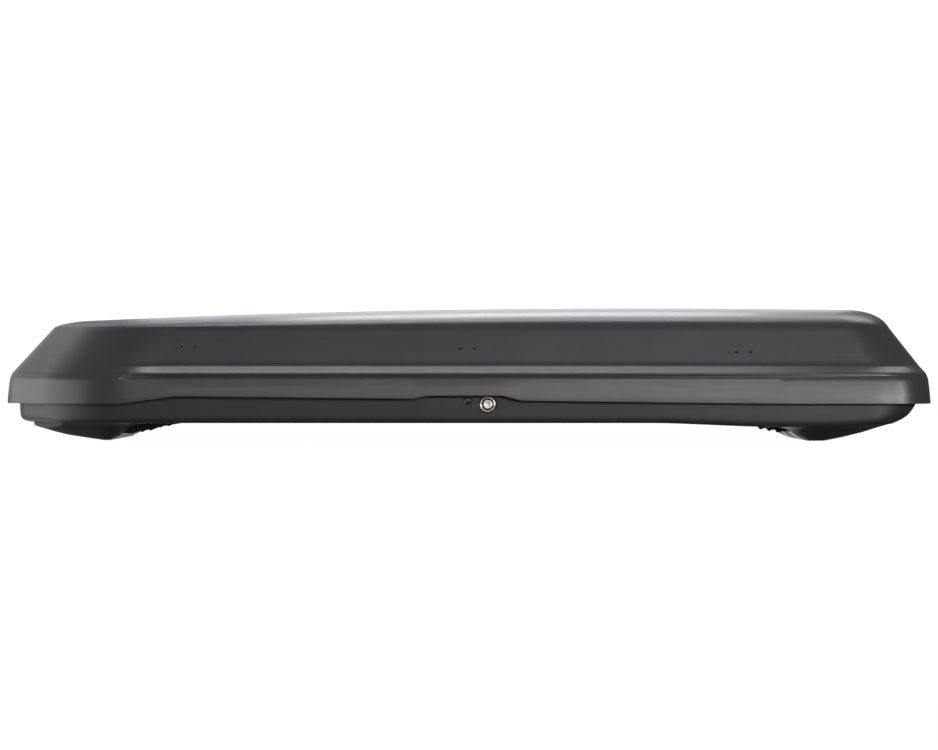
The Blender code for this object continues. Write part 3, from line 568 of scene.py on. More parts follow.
def plan_half(fixed):
    """The near half of the lid's outline from the nose's tip to the tail's, with points at the fixed x's."""
    corners = [(-HALF_LENGTH, 0.0), *(corner for corner, _ in PLAN_CORNERS), (HALF_LENGTH, 0.0)]
    points = [Vector(corners[0])]
    for i, (corner, radius) in enumerate(PLAN_CORNERS):
        arc = corner_arc(corners[i], corner, corners[i + 2], radius)
        stops = [points[-1], arc[0]]
        if corner[0] > 0:
            stops[1:1] = [Vector((x, -HALF_WIDTH)) for x in sorted(fixed) if points[-1].x < x < arc[0].x]
        for start, end in zip(stops, stops[1:]):
            points += run(start, end)
            points += [end] if end is not arc[0] else []
        points += arc
    points += run(points[-1], Vector(corners[-1]))
    return points + [Vector(corners[-1])]


def inset(point, side, nose, tail, start):
    """Moves a plan point in by these amounts. Along X the move grows from nothing at start."""
    x, y = point
    if x < 0:
        x += nose * min(max((-x - start) / (HALF_LENGTH - start), 0.0), 1.0)
    else:
        x -= tail * min(max((x - start) / (HALF_LENGTH - start), 0.0), 1.0)
    return x, y * (HALF_WIDTH - side) / HALF_WIDTH


def full_loop(half):
    """Both halves of a loop, from the nose along the near side and back along the far side."""
    return half + [(x, -y, z) for x, y, z in half[-2:0:-1]]


def skin(rings, height, across):
    """(points, faces) of rings of points, closed over the last ring by rows across it."""
    points = [point for ring in rings for point in ring]
    count = len(rings[0])
    faces = []
    for level in range(len(rings) - 1):
        lower, upper = level * count, (level + 1) * count
        for i in range(count):
            j = (i + 1) % count
            faces.append((lower + i, lower + j, upper + j, upper + i))
    last = (len(rings) - 1) * count
    half = count // 2
    rows = [[last] * (len(across) + 2)]
    for i in range(1, half):
        x, y, _ = points[last + count - i]
        row = [last + i]
        for part in across:
            row.append(len(points))
            points.append((x, y * part, height(x, y * part)))
        rows.append([*row, last + count - i])
    rows.append([last + half] * (len(across) + 2))
    for row, following in zip(rows, rows[1:]):
        for j in range(len(row) - 1):
            corners = tuple(dict.fromkeys((row[j], following[j], following[j + 1], row[j + 1])))
            faces.append(corners)
    return points, faces


def two_skins(outer, inner, count):
    """(points, faces) of a shell's outer and inner skins, joined along their first rings of count points."""
    points, faces = merged([outer, inner])
    start = len(outer[0])
    faces += [(start + i, start + (i + 1) % count, (i + 1) % count, i) for i in range(count)]
    return points, faces


def inward(levels, thickness):
    """The levels of a shell's inner face, a thickness inside its outer face."""
    made = []
    for k, (side, nose, tail, z) in enumerate(levels):
        before = levels[max(k - 1, 0)]
        after = levels[min(k + 1, len(levels) - 1)]
        rise, lean = after[3] - before[3], after[0] - before[0]
        across = thickness * abs(rise) / math.hypot(rise, lean)
        up = thickness * lean / math.hypot(rise, lean)
        made.append((side + across, nose + across, tail + across, z - math.copysign(up, rise)))
    return made


# ---------------- the lid

def lip_height(x, y):
    """The lid's lower edge, which rises over the lock on the near side only."""
    if y < 0 and LOCK_NOTCH[0][0] <= x <= LOCK_NOTCH[-1][0]:
        return softly_along(LOCK_NOTCH, x, NOTCH_EASE)
    return softly_along(LIP_LINE, x, LIP_EASE)


def ridge_height(x):
    """The height of the roof along its middle."""
    fall = RIDGE_FALL_FRONT if x < RIDGE_X else RIDGE_FALL_REAR
    return RIDGE_HEIGHT - fall * (x - RIDGE_X) ** 2


def roof_height(x, y):
    """The top of the lid: the ridge line, less the crown across and two shallow flutes."""
    flute = 1.0 - ramp(abs(abs(y) - FLUTE_Y), FLUTE_HALF * FLUTE_FLAT, FLUTE_HALF)
    flute *= ramp(x, *FLUTE_STARTS) * (1.0 - ramp(x, *FLUTE_ENDS))
    return ridge_height(x) - CROWN_DROP * (y / CROWN_HALF) ** 2 - FLUTE_DEPTH * flute


def groove_strength(x):
    """1 where the groove under the ledge is at its full depth, 0 at the nose and tail."""
    return ramp(x, *GROOVE_STARTS) * (1.0 - 0.5 * ramp(x, *GROOVE_THINS)) * (1.0 - ramp(x, *GROOVE_ENDS))


def eased(rise):
    """A rise that starts gently about 0, to round the corner where a slope begins."""
    t = rise + SLOPE_ROUND / 2
    if t <= 0:
        return 0.0
    return t * t / (2 * SLOPE_ROUND) if t < SLOPE_ROUND else rise


def slope_level(x, z):
    """(side, nose, tail, z) of the lid above its bead."""
    rise = z - BEAD_LEVEL
    even = rise / (WALL_TOP - BEAD_LEVEL)
    shifts = (-LEDGE_EASE, 0.0, LEDGE_EASE)
    ledge = sum(min(max((rise + shift) / LEDGE_RISE, 0.0), 1.0) for shift in shifts) / len(shifts)
    ledge -= LEDGE_EASE / LEDGE_RISE / len(shifts) * (1.0 - min(rise / LEDGE_RISE, 1.0))
    step = even + (ledge - even) * ramp(x, *LEDGE_STARTS)
    return (
        BEAD_INSET + LEDGE_RUN * step + rise * WALL_LEAN,
        BEAD_INSET + eased(rise) * NOSE_SLOPE,
        BEAD_INSET + eased(rise) * TAIL_SLOPE,
        z,
    )


def lid_wall(x, groove):
    """The lid's wall at x, as (side, nose, tail, z) from its lip to where the shoulder begins."""
    lip = lip_height(x, 0.0)
    levels = []
    for z in [lip, *steps(lip, SKIRT_EDGE, SKIRT_RINGS)]:
        flare = SKIRT_FLARE * ((z - lip) / (SKIRT_EDGE - lip)) ** SKIRT_BULGE
        levels.append((flare, flare, flare, z))
    lift = GROOVE_LIFT * ramp(x, *GROOVE_LIFTS)
    for z in steps(SKIRT_EDGE, BEAD_LEVEL, GROOVE_RINGS)[:-1]:
        face = SKIRT_FLARE + (BEAD_INSET - SKIRT_FLARE) * (z - SKIRT_EDGE) / (BEAD_LEVEL - SKIRT_EDGE)
        slot = GROOVE_DEPTH * groove * ramp(z - lift, *GROOVE_STEP) * (1.0 - ramp(z, *GROOVE_RISE))
        levels.append((face + slot, face, face, z))
    above = [*steps(BEAD_LEVEL, LEDGE_TOP, LEDGE_RINGS), *steps(LEDGE_TOP, WALL_TOP, WALL_RINGS)]
    return levels + [slope_level(x, z) for z in (BEAD_LEVEL, *above)]


def shoulder_ring(plan, walls, part, roof):
    """One ring of the shoulder, at a part of the Bezier curve from the walls' last levels to the roof."""
    once = 3 * (1 - part) ** 2 * part
    twice = 3 * (1 - part) * part ** 2
    ring = []
    for point, wall in zip(plan, walls):
        side, nose, tail, z = wall[-1]
        depth = roof(point.x, 0.0) - z
        outs = [
            once * slope * SHOULDER_RISE * depth + (twice * (1 - SHOULDER_REACH) + part ** 3) * SHOULDER_WIDTH
            for slope in (WALL_LEAN, NOSE_SLOPE * SHOULDER_LIFT, TAIL_SLOPE * SHOULDER_LIFT)
        ]
        x, y = inset(point, side + outs[0], nose + outs[1], tail + outs[2], LID_SHIFT_START)
        rise = once * SHOULDER_RISE + twice + part ** 3
        ring.append((x, y, z + (roof(x, y) - z) * rise))
    return full_loop(ring)


def lid_skin(plan, thickness):
    """The rings of the lid's outer skin, or of its plainer inner one if it has a thickness."""
    if thickness:
        walls = [inward(lid_wall(point.x, 0.0), thickness) for point in plan]
    else:
        walls = [lid_wall(point.x, groove_strength(point.x)) for point in plan]

    def roof(x, y):
        return roof_height(x, y) - thickness

    rings = []
    for level in range(len(walls[0])):
        half = []
        for point, wall in zip(plan, walls):
            side, nose, tail, z = wall[level]
            half.append((*inset(point, side, nose, tail, LID_SHIFT_START), z))
        rings.append(full_loop(half))
    edge = SKIRT_RINGS + 1
    for ring in rings[:edge]:
        drop(ring, rings[edge])
    for part in steps(0.0, 1.0, SHOULDER_RINGS):
        rings.append(shoulder_ring(plan, walls, part, roof))
    across = [2 * k / ROOF_ROWS - 1 for k in range(1, ROOF_ROWS)]
    return rings, skin(rings, roof, across)


def drop(ring, fixed):
    """Lets a ring of the skirt follow the lip's notch on the near side, below a ring that stays."""
    for i, (x, y, z) in enumerate(ring):
        plain = lip_height(x, 0.0)
        top = fixed[i][2]
        share = (top - z) / (top - plain)
        ring[i] = (x, y, top - share * (top - lip_height(x, y)))


def make_lid():
    """The lid's shell, with a rounded lip, a grooved skirt, a ledge and a soft shoulder."""
    fixed = [x for x, _ in LIP_LINE] + [LOCK_NOTCH[1][0], LOCK_NOTCH[2][0]]
    fixed += [x + off for x in fixed for off in (-LIP_EASE, LIP_EASE)]
    plan = plan_half(fixed)
    rings, outer = lid_skin(plan, 0.0)
    _, inner = lid_skin(plan, SHELL)
    count = len(rings[0])
    lid = mesh_object("lid_skin", two_skins(outer, inner, count), "charcoal_shell")
    round_lip(lid, count, len(outer[0]))
    settle(lid, "lid", "charcoal_shell", "lid_shell")


def round_lip(obj, count, inner_start):
    """Bevels the two edges along a shell's open rim."""
    weights = obj.data.attributes.new("bevel_weight_edge", "FLOAT", "EDGE")
    rim = set(range(count)) | set(range(inner_start, inner_start + count))
    outer = set(range(count))
    for edge in obj.data.edges:
        first, second = edge.vertices
        if first in rim and second in rim and (first in outer) == (second in outer):
            weights.data[edge.index].value = 1.0
    modifier = obj.modifiers.new("rim", "BEVEL")
    modifier.limit_method = "WEIGHT"
    modifier.width = LIP_ROUND
    modifier.segments = 2


# ---------------- the base

def hang(x, z):
    """A height on the base's wall, let down towards the rear with the edge of the underside."""
    return z - softly_along(EDGE_DROP, x, DROP_EASE) * max(DROP_TOP - z, 0.0) / (DROP_TOP - EDGE_LEVEL)


def under_height(x, y, grow):
    """The underside of the base, or its floor inside if grow is the shell's thickness."""
    pod = 1.0 - ramp(abs(y), POD_HALF - grow, POD_EDGE - grow)
    line = softly_along(UNDER_LINE, x, UNDER_EASE)
    fade = DROP_Y * (1.0 - ramp(x, *DROP_WIDENS))
    edge = EDGE_LEVEL - softly_along(EDGE_DROP, x, DROP_EASE) * ramp(abs(y), fade, fade + DROP_BLEND)
    height = edge + (line - edge) * pod
    wall = 1.0 - ramp(abs(abs(y) - CHANNEL_Y), CHANNEL_HALF + grow, CHANNEL_HALF + CHANNEL_WALL + grow)
    end = 1.0 - ramp(abs(x), CHANNEL_END + grow, CHANNEL_END + CHANNEL_RAMP + grow)
    return height + CHANNEL_RISE * wall * end + grow


def spline(levels, pieces):
    """A smooth line through levels, each piece between two of them cut into this many."""
    made = [levels[0]]
    for k in range(len(levels) - 1):
        before, after = levels[max(k - 1, 0)], levels[min(k + 2, len(levels) - 1)]
        for t in steps(0.0, 1.0, pieces):
            level = []
            for p0, p1, p2, p3 in zip(before, levels[k], levels[k + 1], after):
                bend = (2 * p0 - 5 * p1 + 4 * p2 - p3) * t + (3 * (p1 - p2) + p3 - p0) * t * t
                level.append(p1 + 0.5 * t * (p2 - p0 + bend))
            made.append(tuple(level))
    return made


def base_skin(plan, thickness):
    """The rings of the base's outer skin, or of its inner one if it has a thickness."""
    side, nose, tail = BASE_INSETS
    levels = spline([
        (side, nose, tail, RIM_TOP),
        (side, nose, tail + 0.001, 0.105),
        (side, nose, tail + 0.004, 0.085),
        (side + 0.0003, nose + 0.001, tail + 0.020, 0.062),
        (side + 0.0010, nose + 0.004, tail + 0.034, 0.0520),
        (side + 0.0040, nose + 0.010, tail + 0.045, 0.0465),
        (side + 0.0105, nose + 0.019, tail + 0.051, 0.0437),
        (side + 0.021, nose + 0.031, tail + 0.054, EDGE_LEVEL),
    ], 4)
    if thickness:
        levels = inward(levels, thickness)
    rings = []
    for side_in, nose_in, tail_in, z in levels:
        half = [inset(point, side_in, nose_in, tail_in, BASE_SHIFT_START) for point in plan]
        rings.append(full_loop([(x, y, hang(x, z)) for x, y in half]))
    width = HALF_WIDTH - levels[-1][0]
    outer_wall = CHANNEL_Y + CHANNEL_HALF + thickness
    inner_wall = CHANNEL_Y - CHANNEL_HALF - thickness
    stops = [0.0, inner_wall - CHANNEL_WALL, inner_wall, outer_wall, outer_wall + CHANNEL_WALL, width]
    places = [0.0]
    for (low, high), pieces in zip(zip(stops, stops[1:]), (14, 6, 6, 6, 10)):
        places += steps(low, high, pieces)
    parts = [place / width for place in places[:-1]]
    across = [-part for part in parts[:0:-1]] + parts
    return rings, skin(rings, lambda x, y: under_height(x, y, thickness), across)


def make_base():
    """The base's shell, its pods and channels, with the openings for its fittings."""
    pods = [x for x, _ in UNDER_LINE if POD_SPAN[0] < x < POD_SPAN[1]]
    shares = (0.0, 0.25, 0.5, 0.75, 1.0, 1.1)
    ends = [sign * (CHANNEL_END + share * CHANNEL_RAMP) for sign in (-1, 1) for share in shares]
    plan = plan_half([*pods, *ends, *(x + PLAN_NUDGE for x in pods)])
    rings, outer = base_skin(plan, 0.0)
    _, inner = base_skin(plan, SHELL)
    base = mesh_object("base_skin", two_skins(outer, inner, len(rings[0])), "black_shell")

    openings = []
    for x, z, radius in ((LOCK_X, LOCK_Z, LOCK_BORE), (SCREW_X, SCREW_Z, SCREW_BORE)):
        bore = [(0.0, 0.02), (radius, 0.02), (radius, -0.02), (0.0, -0.02)]
        openings.append(lathe(bore, (x, -BASE_WALL, z), (0, -1, 0)))
    for x_sign in ENDS.values():
        for y_sign in SIDES.values():
            x, y = x_sign * CLAMP_X, y_sign * CHANNEL_Y
            low = (x - CLAMP_SLOT[0], y - CLAMP_SLOT[1], SLOT_Z[0])
            openings.append(brick(low, (x + CLAMP_SLOT[0], y + CLAMP_SLOT[1], SLOT_Z[1])))
    carve(base, merged(openings))
    settle(base, "base", "black_shell", "base_shell")


# The ribs' outlines, as lines of (x, z) points.
POD_RIBS = {
    "nose": [
        (-0.7890, 0.0040), (-0.7870, 0.0006), (-0.7830, 0.0022), (-0.7695, 0.0078), (-0.7625, 0.0118),
        (-0.7555, 0.0170), (-0.7415, 0.0170), (-0.7345, 0.0152), (-0.7275, 0.0186), (-0.7205, 0.0212),
        (-0.7135, 0.0256), (-0.6995, 0.0270), (-0.6925, 0.0256), (-0.6855, 0.0290), (-0.6715, 0.0312),
        (-0.6560, 0.0345), (-0.6540, 0.0425), (-0.6900, 0.0430), (-0.7400, 0.0330), (-0.7750, 0.0110),
    ],
    "tail": [
        (0.7590, 0.0040), (0.7560, 0.0006), (0.7530, 0.0012), (0.7400, 0.0078), (0.7330, 0.0118),
        (0.7260, 0.0166), (0.7190, 0.0208), (0.7050, 0.0208), (0.6985, 0.0204), (0.6925, 0.0180),
        (0.6890, 0.0182), (0.6850, 0.0240), (0.6700, 0.0300), (0.6500, 0.0345), (0.6500, 0.0400),
        (0.6830, 0.0350), (0.7055, 0.0290), (0.7270, 0.0210), (0.7480, 0.0090),
    ],
}
RIB_PLACES = (-0.172, 0.0, 0.172)
RIB_THICKNESS = 0.007


def make_pod_ribs():
    """The ribs that run down the inner slope of each pod, with small teeth along their edges."""
    for pod, outline in POD_RIBS.items():
        ribs = [slab(outline, "y", y - RIB_THICKNESS / 2, y + RIB_THICKNESS / 2) for y in RIB_PLACES]
        piece(f"pod_ribs_{pod}", merged(ribs), "black_shell", "base", soft=0.0012)


def make_trim():
    """Rubber edge trim on the base's rim: a bulb above, and two legs down the rim's faces."""
    profile = [
        (-0.0012, -0.0070), (-0.0028, -0.0066), (-0.0030, -0.0010), (-0.0026, 0.0026), (-0.0012, 0.0052),
        (0.0010, 0.0062), (0.0034, 0.0058), (0.0054, 0.0040), (0.0062, 0.0012), (0.0066, -0.0066),
        (0.0052, -0.0070), (0.0044, -0.0010), (0.0020, 0.0004), (-0.0004, -0.0010),
    ]
    ring = [Vector(point) for point in base_skin(plan_half([0.0]), 0.0)[0][0]]
    points, faces = [], []
    count, size = len(ring), len(profile)
    for i, point in enumerate(ring):
        tangent = (ring[(i + 1) % count] - ring[i - 1]).normalized()
        across = Vector((-tangent.y, tangent.x, 0.0))
        points += [point + across * u + Vector((0.0, 0.0, v)) for u, v in profile]
    for i in range(count):
        j = (i + 1) % count
        for k in range(size):
            n = (k + 1) % size
            faces.append((i * size + k, i * size + n, j * size + n, j * size + k))
    piece("rim_seal", (points, faces), "black_rubber", "base", "rim_trim", angle=40)


# ---------------- fittings outside

def wall_y(z):
    """How far from the middle the outer face of the lid's side wall is, at a height."""
    return HALF_WIDTH - BEAD_INSET - LEDGE_RUN - (z - BEAD_LEVEL) * WALL_LEAN


def make_rivets():
    """Dome-head rivets: a thin flange and a dome outside, and the set tail over a washer inside."""
    depth = 0.0065
    profile = [
        (0.0, 0.0004), (0.0014, 0.0004), (0.0017, 0.0019), (0.0022, 0.0020), (0.0031, 0.0014),
        (0.0038, 0.0008), (0.0041, 0.0004), (0.0047, 0.00025), (0.00475, 0.0), (0.0024, -0.0001),
        (0.0024, -depth), (0.0040, -depth), (0.0040, -depth - 0.0005), (0.0030, -depth - 0.0005),
        (0.0028, -depth - 0.0011), (0.0016, -depth - 0.0016), (0.0, -depth - 0.0017),
    ]
    for side, sign in SIDES.items():
        for station, (x, z) in STATIONS.items():
            for number, offset in ((1, -0.5), (2, 0.5)):
                place = Vector((x + offset * RIVET_PITCH, sign * wall_y(z), z))
                normal = Vector((0.0, sign * WALL_NORMAL.y, WALL_NORMAL.z))
                name = f"{side}_{station}_{number}"
                shape = lathe(profile, place, normal, 32)
                piece(f"dome_rivet_{name}", shape, "black_steel", "lid", f"rivet_{name}", angle=40)


def make_lock():
    """The lock's plated bezel and core, and the socket-head screw in its cup washer."""
    outward = (0.0, -1.0, 0.0)
    lock = (LOCK_X, -BASE_WALL, LOCK_Z)
    bezel = [
        (LOCK_BORE, 0.0026), (0.0127, 0.0036), (0.0133, 0.0044), (0.0141, 0.0049), (0.0151, 0.0050),
        (0.0160, 0.0046), (0.0167, 0.0037), (0.0170, 0.0024), (0.0170, 0.0003), (LOCK_BORE, 0.0003),
    ]
    piece("lock_ring", lathe(bezel, lock, outward, 72), "chrome", "base", "lock_bezel", angle=40)

    core = [
        (0.0, 0.0030), (0.0050, 0.0031), (0.0060, 0.0036), (0.0086, 0.0038), (0.0093, 0.0034),
        (0.0096, 0.0024), (0.0096, 0.0002), (0.0110, 0.0002), (0.0110, -0.0150), (0.0, -0.0150),
    ]
    cylinder = mesh_object("lock_core", lathe(core, lock, outward, 64), "satin_chrome")
    keyway = [
        (-0.0013, -0.0050), (0.0013, -0.0050), (0.0013, 0.0042), (-0.0013, 0.0042), (-0.0013, 0.0012),
        (-0.0024, 0.0012), (-0.0024, -0.0024), (-0.0013, -0.0024),
    ]
    outline = [(LOCK_X + x, LOCK_Z + z) for x, z in keyway]
    carve(cylinder, slab(outline, "y", -BASE_WALL - 0.0080, -BASE_WALL - 0.0012))
    smooth(cylinder.data, 40)
    settle(cylinder, "key", "chrome", "key_cylinder")

    screw = [
        (0.0, 0.0030), (0.0036, 0.0030), (0.0042, 0.0027), (0.0046, 0.0020), (0.0048, 0.0013),
        (0.0056, 0.0012), (0.0070, 0.0025), (0.0078, 0.0027), (0.0085, 0.0022), (0.0090, 0.0010),
        (0.0091, 0.0003), (0.0028, 0.0003), (0.0028, -0.0150), (0.0, -0.0150),
    ]
    place = (SCREW_X, -BASE_WALL, SCREW_Z)
    cup = mesh_object("cup_screw", lathe(screw, place, outward, 48), "black_steel")
    carve(cup, lathe([(0.0, 0.004), (0.0026, 0.004), (0.0026, 0.0006), (0.0, 0.0006)], place, outward, 6))
    smooth(cup.data, 40)
    settle(cup, "base", "black_steel", "lock_screw")

    gasket = [(0.0174, 0.0012), (0.0180, 0.0009), (0.0182, 0.0002), (0.0170, 0.0002), (0.0170, 0.0010)]
    dust_seal = [
        (0.0098, 0.0008), (0.0110, 0.0012), (0.0123, 0.0008), (0.0123, 0.0003), (0.0098, 0.0003),
        (0.0098, 0.0007),
    ]
    rings = merged([lathe(profile, lock, outward, 72) for profile in (gasket, dust_seal)])
    piece("lock_gasket", rings, "black_rubber", "base", angle=40)


# ---------------- fittings inside

def make_struts():
    """Gas struts: a coated tube with a crimped neck, a plated rod and moulded sockets."""
    neck = [
        (0.0, 0.0015), (0.0046, 0.0015), (0.0060, 0.0005), (0.0076, -0.0010), (0.0084, -0.0030),
        (0.0082, -0.0060), (0.0074, -0.0080), (0.0082, -0.0100), (0.0090, -0.0130),
    ]
    tube = [(radius, TUBE_LENGTH + height) for radius, height in neck] + [
        (0.0090, 0.0240), (0.0082, 0.0200), (0.0060, 0.0180), (0.0045, 0.0170), (0.0045, 0.0050),
        (0.0, 0.0050),
    ]
    ball = [
        (0.0, 0.0055), (0.0060, 0.0055), (0.0076, 0.0044), (0.0080, 0.0026), (0.0080, -0.0026),
        (0.0076, -0.0044), (0.0060, -0.0055), (0.0, -0.0055),
    ]
    for end, sign in ENDS.items():
        foot = Vector((sign * STRUT_X, *STRUT_FOOT))
        head = Vector((sign * STRUT_X, *STRUT_HEAD))
        reach = head - foot
        length = reach.length
        tube_body, rod_body = f"{end}_strut_tube", f"{end}_strut_rod"
        barrel = lathe(tube, foot, reach, 40)
        piece(f"gas_tube_{end}", barrel, "black_steel", tube_body, f"strut_tube_{end}", angle=35)
        piece(f"foot_socket_{end}", lathe(ball, foot, (1, 0, 0), 32), "black_plastic", tube_body, angle=35)
        inside = TUBE_LENGTH - ROD_INSIDE
        rod = [(0.0, length - 0.004), (0.0040, length - 0.005), (0.0040, inside), (0.0, inside)]
        piece(f"gas_rod_{end}", lathe(rod, foot, reach, 32), "chrome", rod_body, f"strut_rod_{end}", angle=35)
        collar = [
            (0.0, length + 0.001), (0.0052, length + 0.001), (0.0056, length - 0.0140),
            (0.0046, length - 0.0160), (0.0, length - 0.0160),
        ]
        top = merged([lathe(ball, head, (1, 0, 0), 32), lathe(collar, foot, reach, 24)])
        piece(f"head_socket_{end}", top, "black_plastic", rod_body, angle=35)


def make_clamps():
    """Lobed clamp knobs with a raised boss, and rubber pads on the clamps' claws and jaws."""
    knob = [
        (0.0, 0.0200), (0.0060, 0.0200), (0.0072, 0.0192), (0.0080, 0.0176), (0.0110, 0.0180),
        (0.0150, 0.0186), (0.0176, 0.0176), (0.0192, 0.0154), (0.0199, 0.0120), (0.0200, 0.0060),
        (0.0192, 0.0030), (0.0160, 0.0004), (0.0, 0.0003),
    ]
    foot = DECK + CHANNEL_RISE + 0.0094
    for end, x_sign in ENDS.items():
        for side, y_sign in SIDES.items():
            x, y = x_sign * CLAMP_X, y_sign * CHANNEL_Y
            name = f"{end}_{side}"
            grip = lathe(knob, (x, y, foot), (0, 0, 1), 72, 6, 0.09)
            piece(f"knob_grip_{name}", grip, "black_plastic", f"{name}_knob", f"clamp_knob_{name}", angle=40)
            for pad, body, low, high in (
                ("jaw", f"{name}_jaw", 0.0308, 0.0320), ("claw", "base", -0.0340, -0.0328),
            ):
                block = brick((x + low, y - PAD_HALF, PAD_Z[0]), (x + high, y + PAD_HALF, PAD_Z[1]))
                piece(f"{pad}_pad_{name}", block, "black_rubber", body, soft=0.0004)


def make_straps():
    """Luggage straps of woven webbing over the two ridges, with anchor plates and a ladder buckle."""
    floor = DECK + 0.0018
    ridge = floor + CHANNEL_RISE
    outer, inner = CHANNEL_Y + CHANNEL_HALF, CHANNEL_Y - CHANNEL_HALF
    half = [
        (0.284, floor), (outer + 0.019, floor + 0.0005), (outer + 0.008, ridge), (inner - 0.008, ridge),
        (inner - 0.019, floor + 0.0005), (inner - 0.040, floor),
    ]
    path = rounded(half + [(-y, z) for y, z in half[::-1]])
    loose_end = [(0.020, 0.0015), (-0.050, 0.0018), (-0.090, 0.0042), (-0.128, 0.0012)]
    tail = rounded([(y, floor + lift) for y, lift in loose_end], 0.02)
    wide = STRAP_WIDTH / 2 + 0.004
    screw_head = [(0.0, 0.0042), (0.0026, 0.0038), (0.0040, 0.0026), (0.0043, 0.0004), (0.0, 0.0004)]
    for end, sign in ENDS.items():
        x = sign * STRAP_X
        band = strip(path, x, STRAP_WIDTH, 0.0013)
        piece(f"strap_web_{end}", band, "black_webbing", "base", f"strap_{end}", angle=50, soft=0.0003)
        loose = strip(tail, x, STRAP_WIDTH, 0.0012)
        piece(f"strap_tail_{end}", loose, "black_webbing", "base", angle=50, soft=0.0003)
        bars = [
            brick((x - wide, y - 0.0025, floor - 0.0012), (x + wide, y + 0.0025, floor + 0.0052))
            for y in (-0.018, 0.004, 0.024)
        ]
        bars += [
            brick((edge - 0.0022, -0.0205, floor - 0.0012), (edge + 0.0022, 0.0265, floor + 0.0058))
            for edge in (x - wide, x + wide)
        ]
        piece(f"strap_buckle_{end}", merged(bars), "black_plastic", "base", soft=0.0009)
        for name, side in SIDES.items():
            y = side * ANCHOR_Y
            plate = brick((x - 0.0155, y - 0.007, floor + 0.0004), (x + 0.0155, y + 0.007, floor + 0.0024))
            anchor = merged([plate, lathe(screw_head, (x, y, floor), (0, 0, 1), 24)])
            piece(f"strap_anchor_{end}_{name}", anchor, "zinc_steel", "base", soft=0.0004)


def make_floor_bars():
    """Floor stiffeners: shallow pressed channels with turned-down edges, held by round-head screws."""
    floor = DECK + 0.0013
    section = rounded([
        (-0.0125, 0.0), (-0.0125, 0.0034), (-0.0060, 0.0034), (-0.0044, 0.0060), (0.0044, 0.0060),
        (0.0060, 0.0034), (0.0125, 0.0034), (0.0125, 0.0),
    ], 0.0014, 3)
    head = [(0.0, 0.0024), (0.0020, 0.0021), (0.0033, 0.0012), (0.0036, 0.0), (0.0, 0.0)]
    for name, sign in SIDES.items():
        outline = [(sign * BAR_Y + y, floor + z) for y, z in section]
        parts = [slab(outline, "x", -BAR_LENGTH / 2, BAR_LENGTH / 2)]
        for x in steps(-BAR_LENGTH / 2 - 0.06, BAR_LENGTH / 2 - 0.04, 8):
            for y in (-0.0092, 0.0092):
                parts.append(lathe(head, (x, sign * BAR_Y + y, floor + 0.0033), (0, 0, 1), 16))
        piece(f"floor_rail_{name}", merged(parts), "zinc_steel", "base", f"floor_bar_{name}", angle=30)


def make_bracket_screws():
    """Pan-head screws that hold the hinge brackets."""
    head = [(0.0, 0.0016), (0.0018, 0.00155), (0.0030, 0.0012), (0.0036, 0.0005), (0.0036, 0.0), (0.0, 0.0)]
    plate = BASE_WALL + 0.0028
    for station, (x, _) in STATIONS.items():
        places = [(x + dx, plate, z) for dx in (-0.022, 0.022) for z in (0.0745, 0.1045)]
        screws = merged([lathe(head, place, (0, 1, 0), 24) for place in places])
        piece(f"bracket_screws_{station}", screws, "black_steel", "base", angle=40)


def finish_cad_nodes():
    """Gives each CAD node its slot's material, and rounds the edges of the pressed ones that still show."""
    softened = {
        "hinge_leaf": 0.0005, "hinge_bracket": 0.0005, "striker": 0.0005, "latch_rail": 0.0006,
        "latch_guide": 0.0006, "lock_cam": 0.0004, "strut_": 0.0005, "clamp_jaw": 0.0004,
    }
    for part in frame["record"]["subparts"]:
        obj = frame["nodes"][part["node"]]
        obj.data.materials.clear()
        obj.data.materials.append(LOOKS[part["material_slot"]])
        for start, width in softened.items():
            if part["node"].startswith(start) and not obj.hide_render:
                soften(obj, width)


# ---------------- the studio

def flat_light(name, centre, aim, width, height, watts, colour):
    """A soft rectangular light that faces a point."""
    data = bpy.data.lights.new(name, "AREA")
    data.shape = "RECTANGLE"
    data.size, data.size_y = width, height
    data.energy = watts
    data.color = colour
    light = linked(name, data)
    light.location = centre
    light.rotation_euler = (Vector(aim) - Vector(centre)).to_track_quat("-Z", "Y").to_euler()


def white_wall(name, points, faces, glow, grey):
    """A surface that glows white in the camera's view only, and lights and shades nothing."""
    mesh = bpy.data.meshes.new(name)
    mesh.from_pydata(points, [], faces)
    made, _, shader, _ = new_material(name, (grey, grey, grey), 0.9)
    shader.inputs["Specular IOR Level"].default_value = 0.0
    shader.inputs["Emission Color"].default_value = (1.0, 1.0, 1.0, 1.0)
    shader.inputs["Emission Strength"].default_value = glow
    mesh.materials.append(made)
    obj = linked(name, mesh)
    obj.visible_diffuse = False
    obj.visible_glossy = False
    obj.visible_shadow = False


def make_sky():
    """A faint sky: brightest at the upper left, and dark to the right and below."""
    world = bpy.data.worlds.new("studio")
    world.use_nodes = True
    tree = world.node_tree
    sky = tree.nodes["Background"]
    sky.inputs["Color"].default_value = (0.90, 0.94, 1.0, 1.0)
    parts = add(tree, "ShaderNodeSeparateXYZ")
    tree.links.new(tree.nodes.new("ShaderNodeTexCoord").outputs["Generated"], parts.inputs["Vector"])
    from_left = spread(tree, parts.outputs["X"], 0.34, 0.06, -0.5, 0.6)
    from_above = spread(tree, parts.outputs["Z"], 0.25, 1.0, -0.45, 0.05)
    tree.links.new(times(tree, from_left, from_above), sky.inputs["Strength"])
    bpy.context.scene.world = world


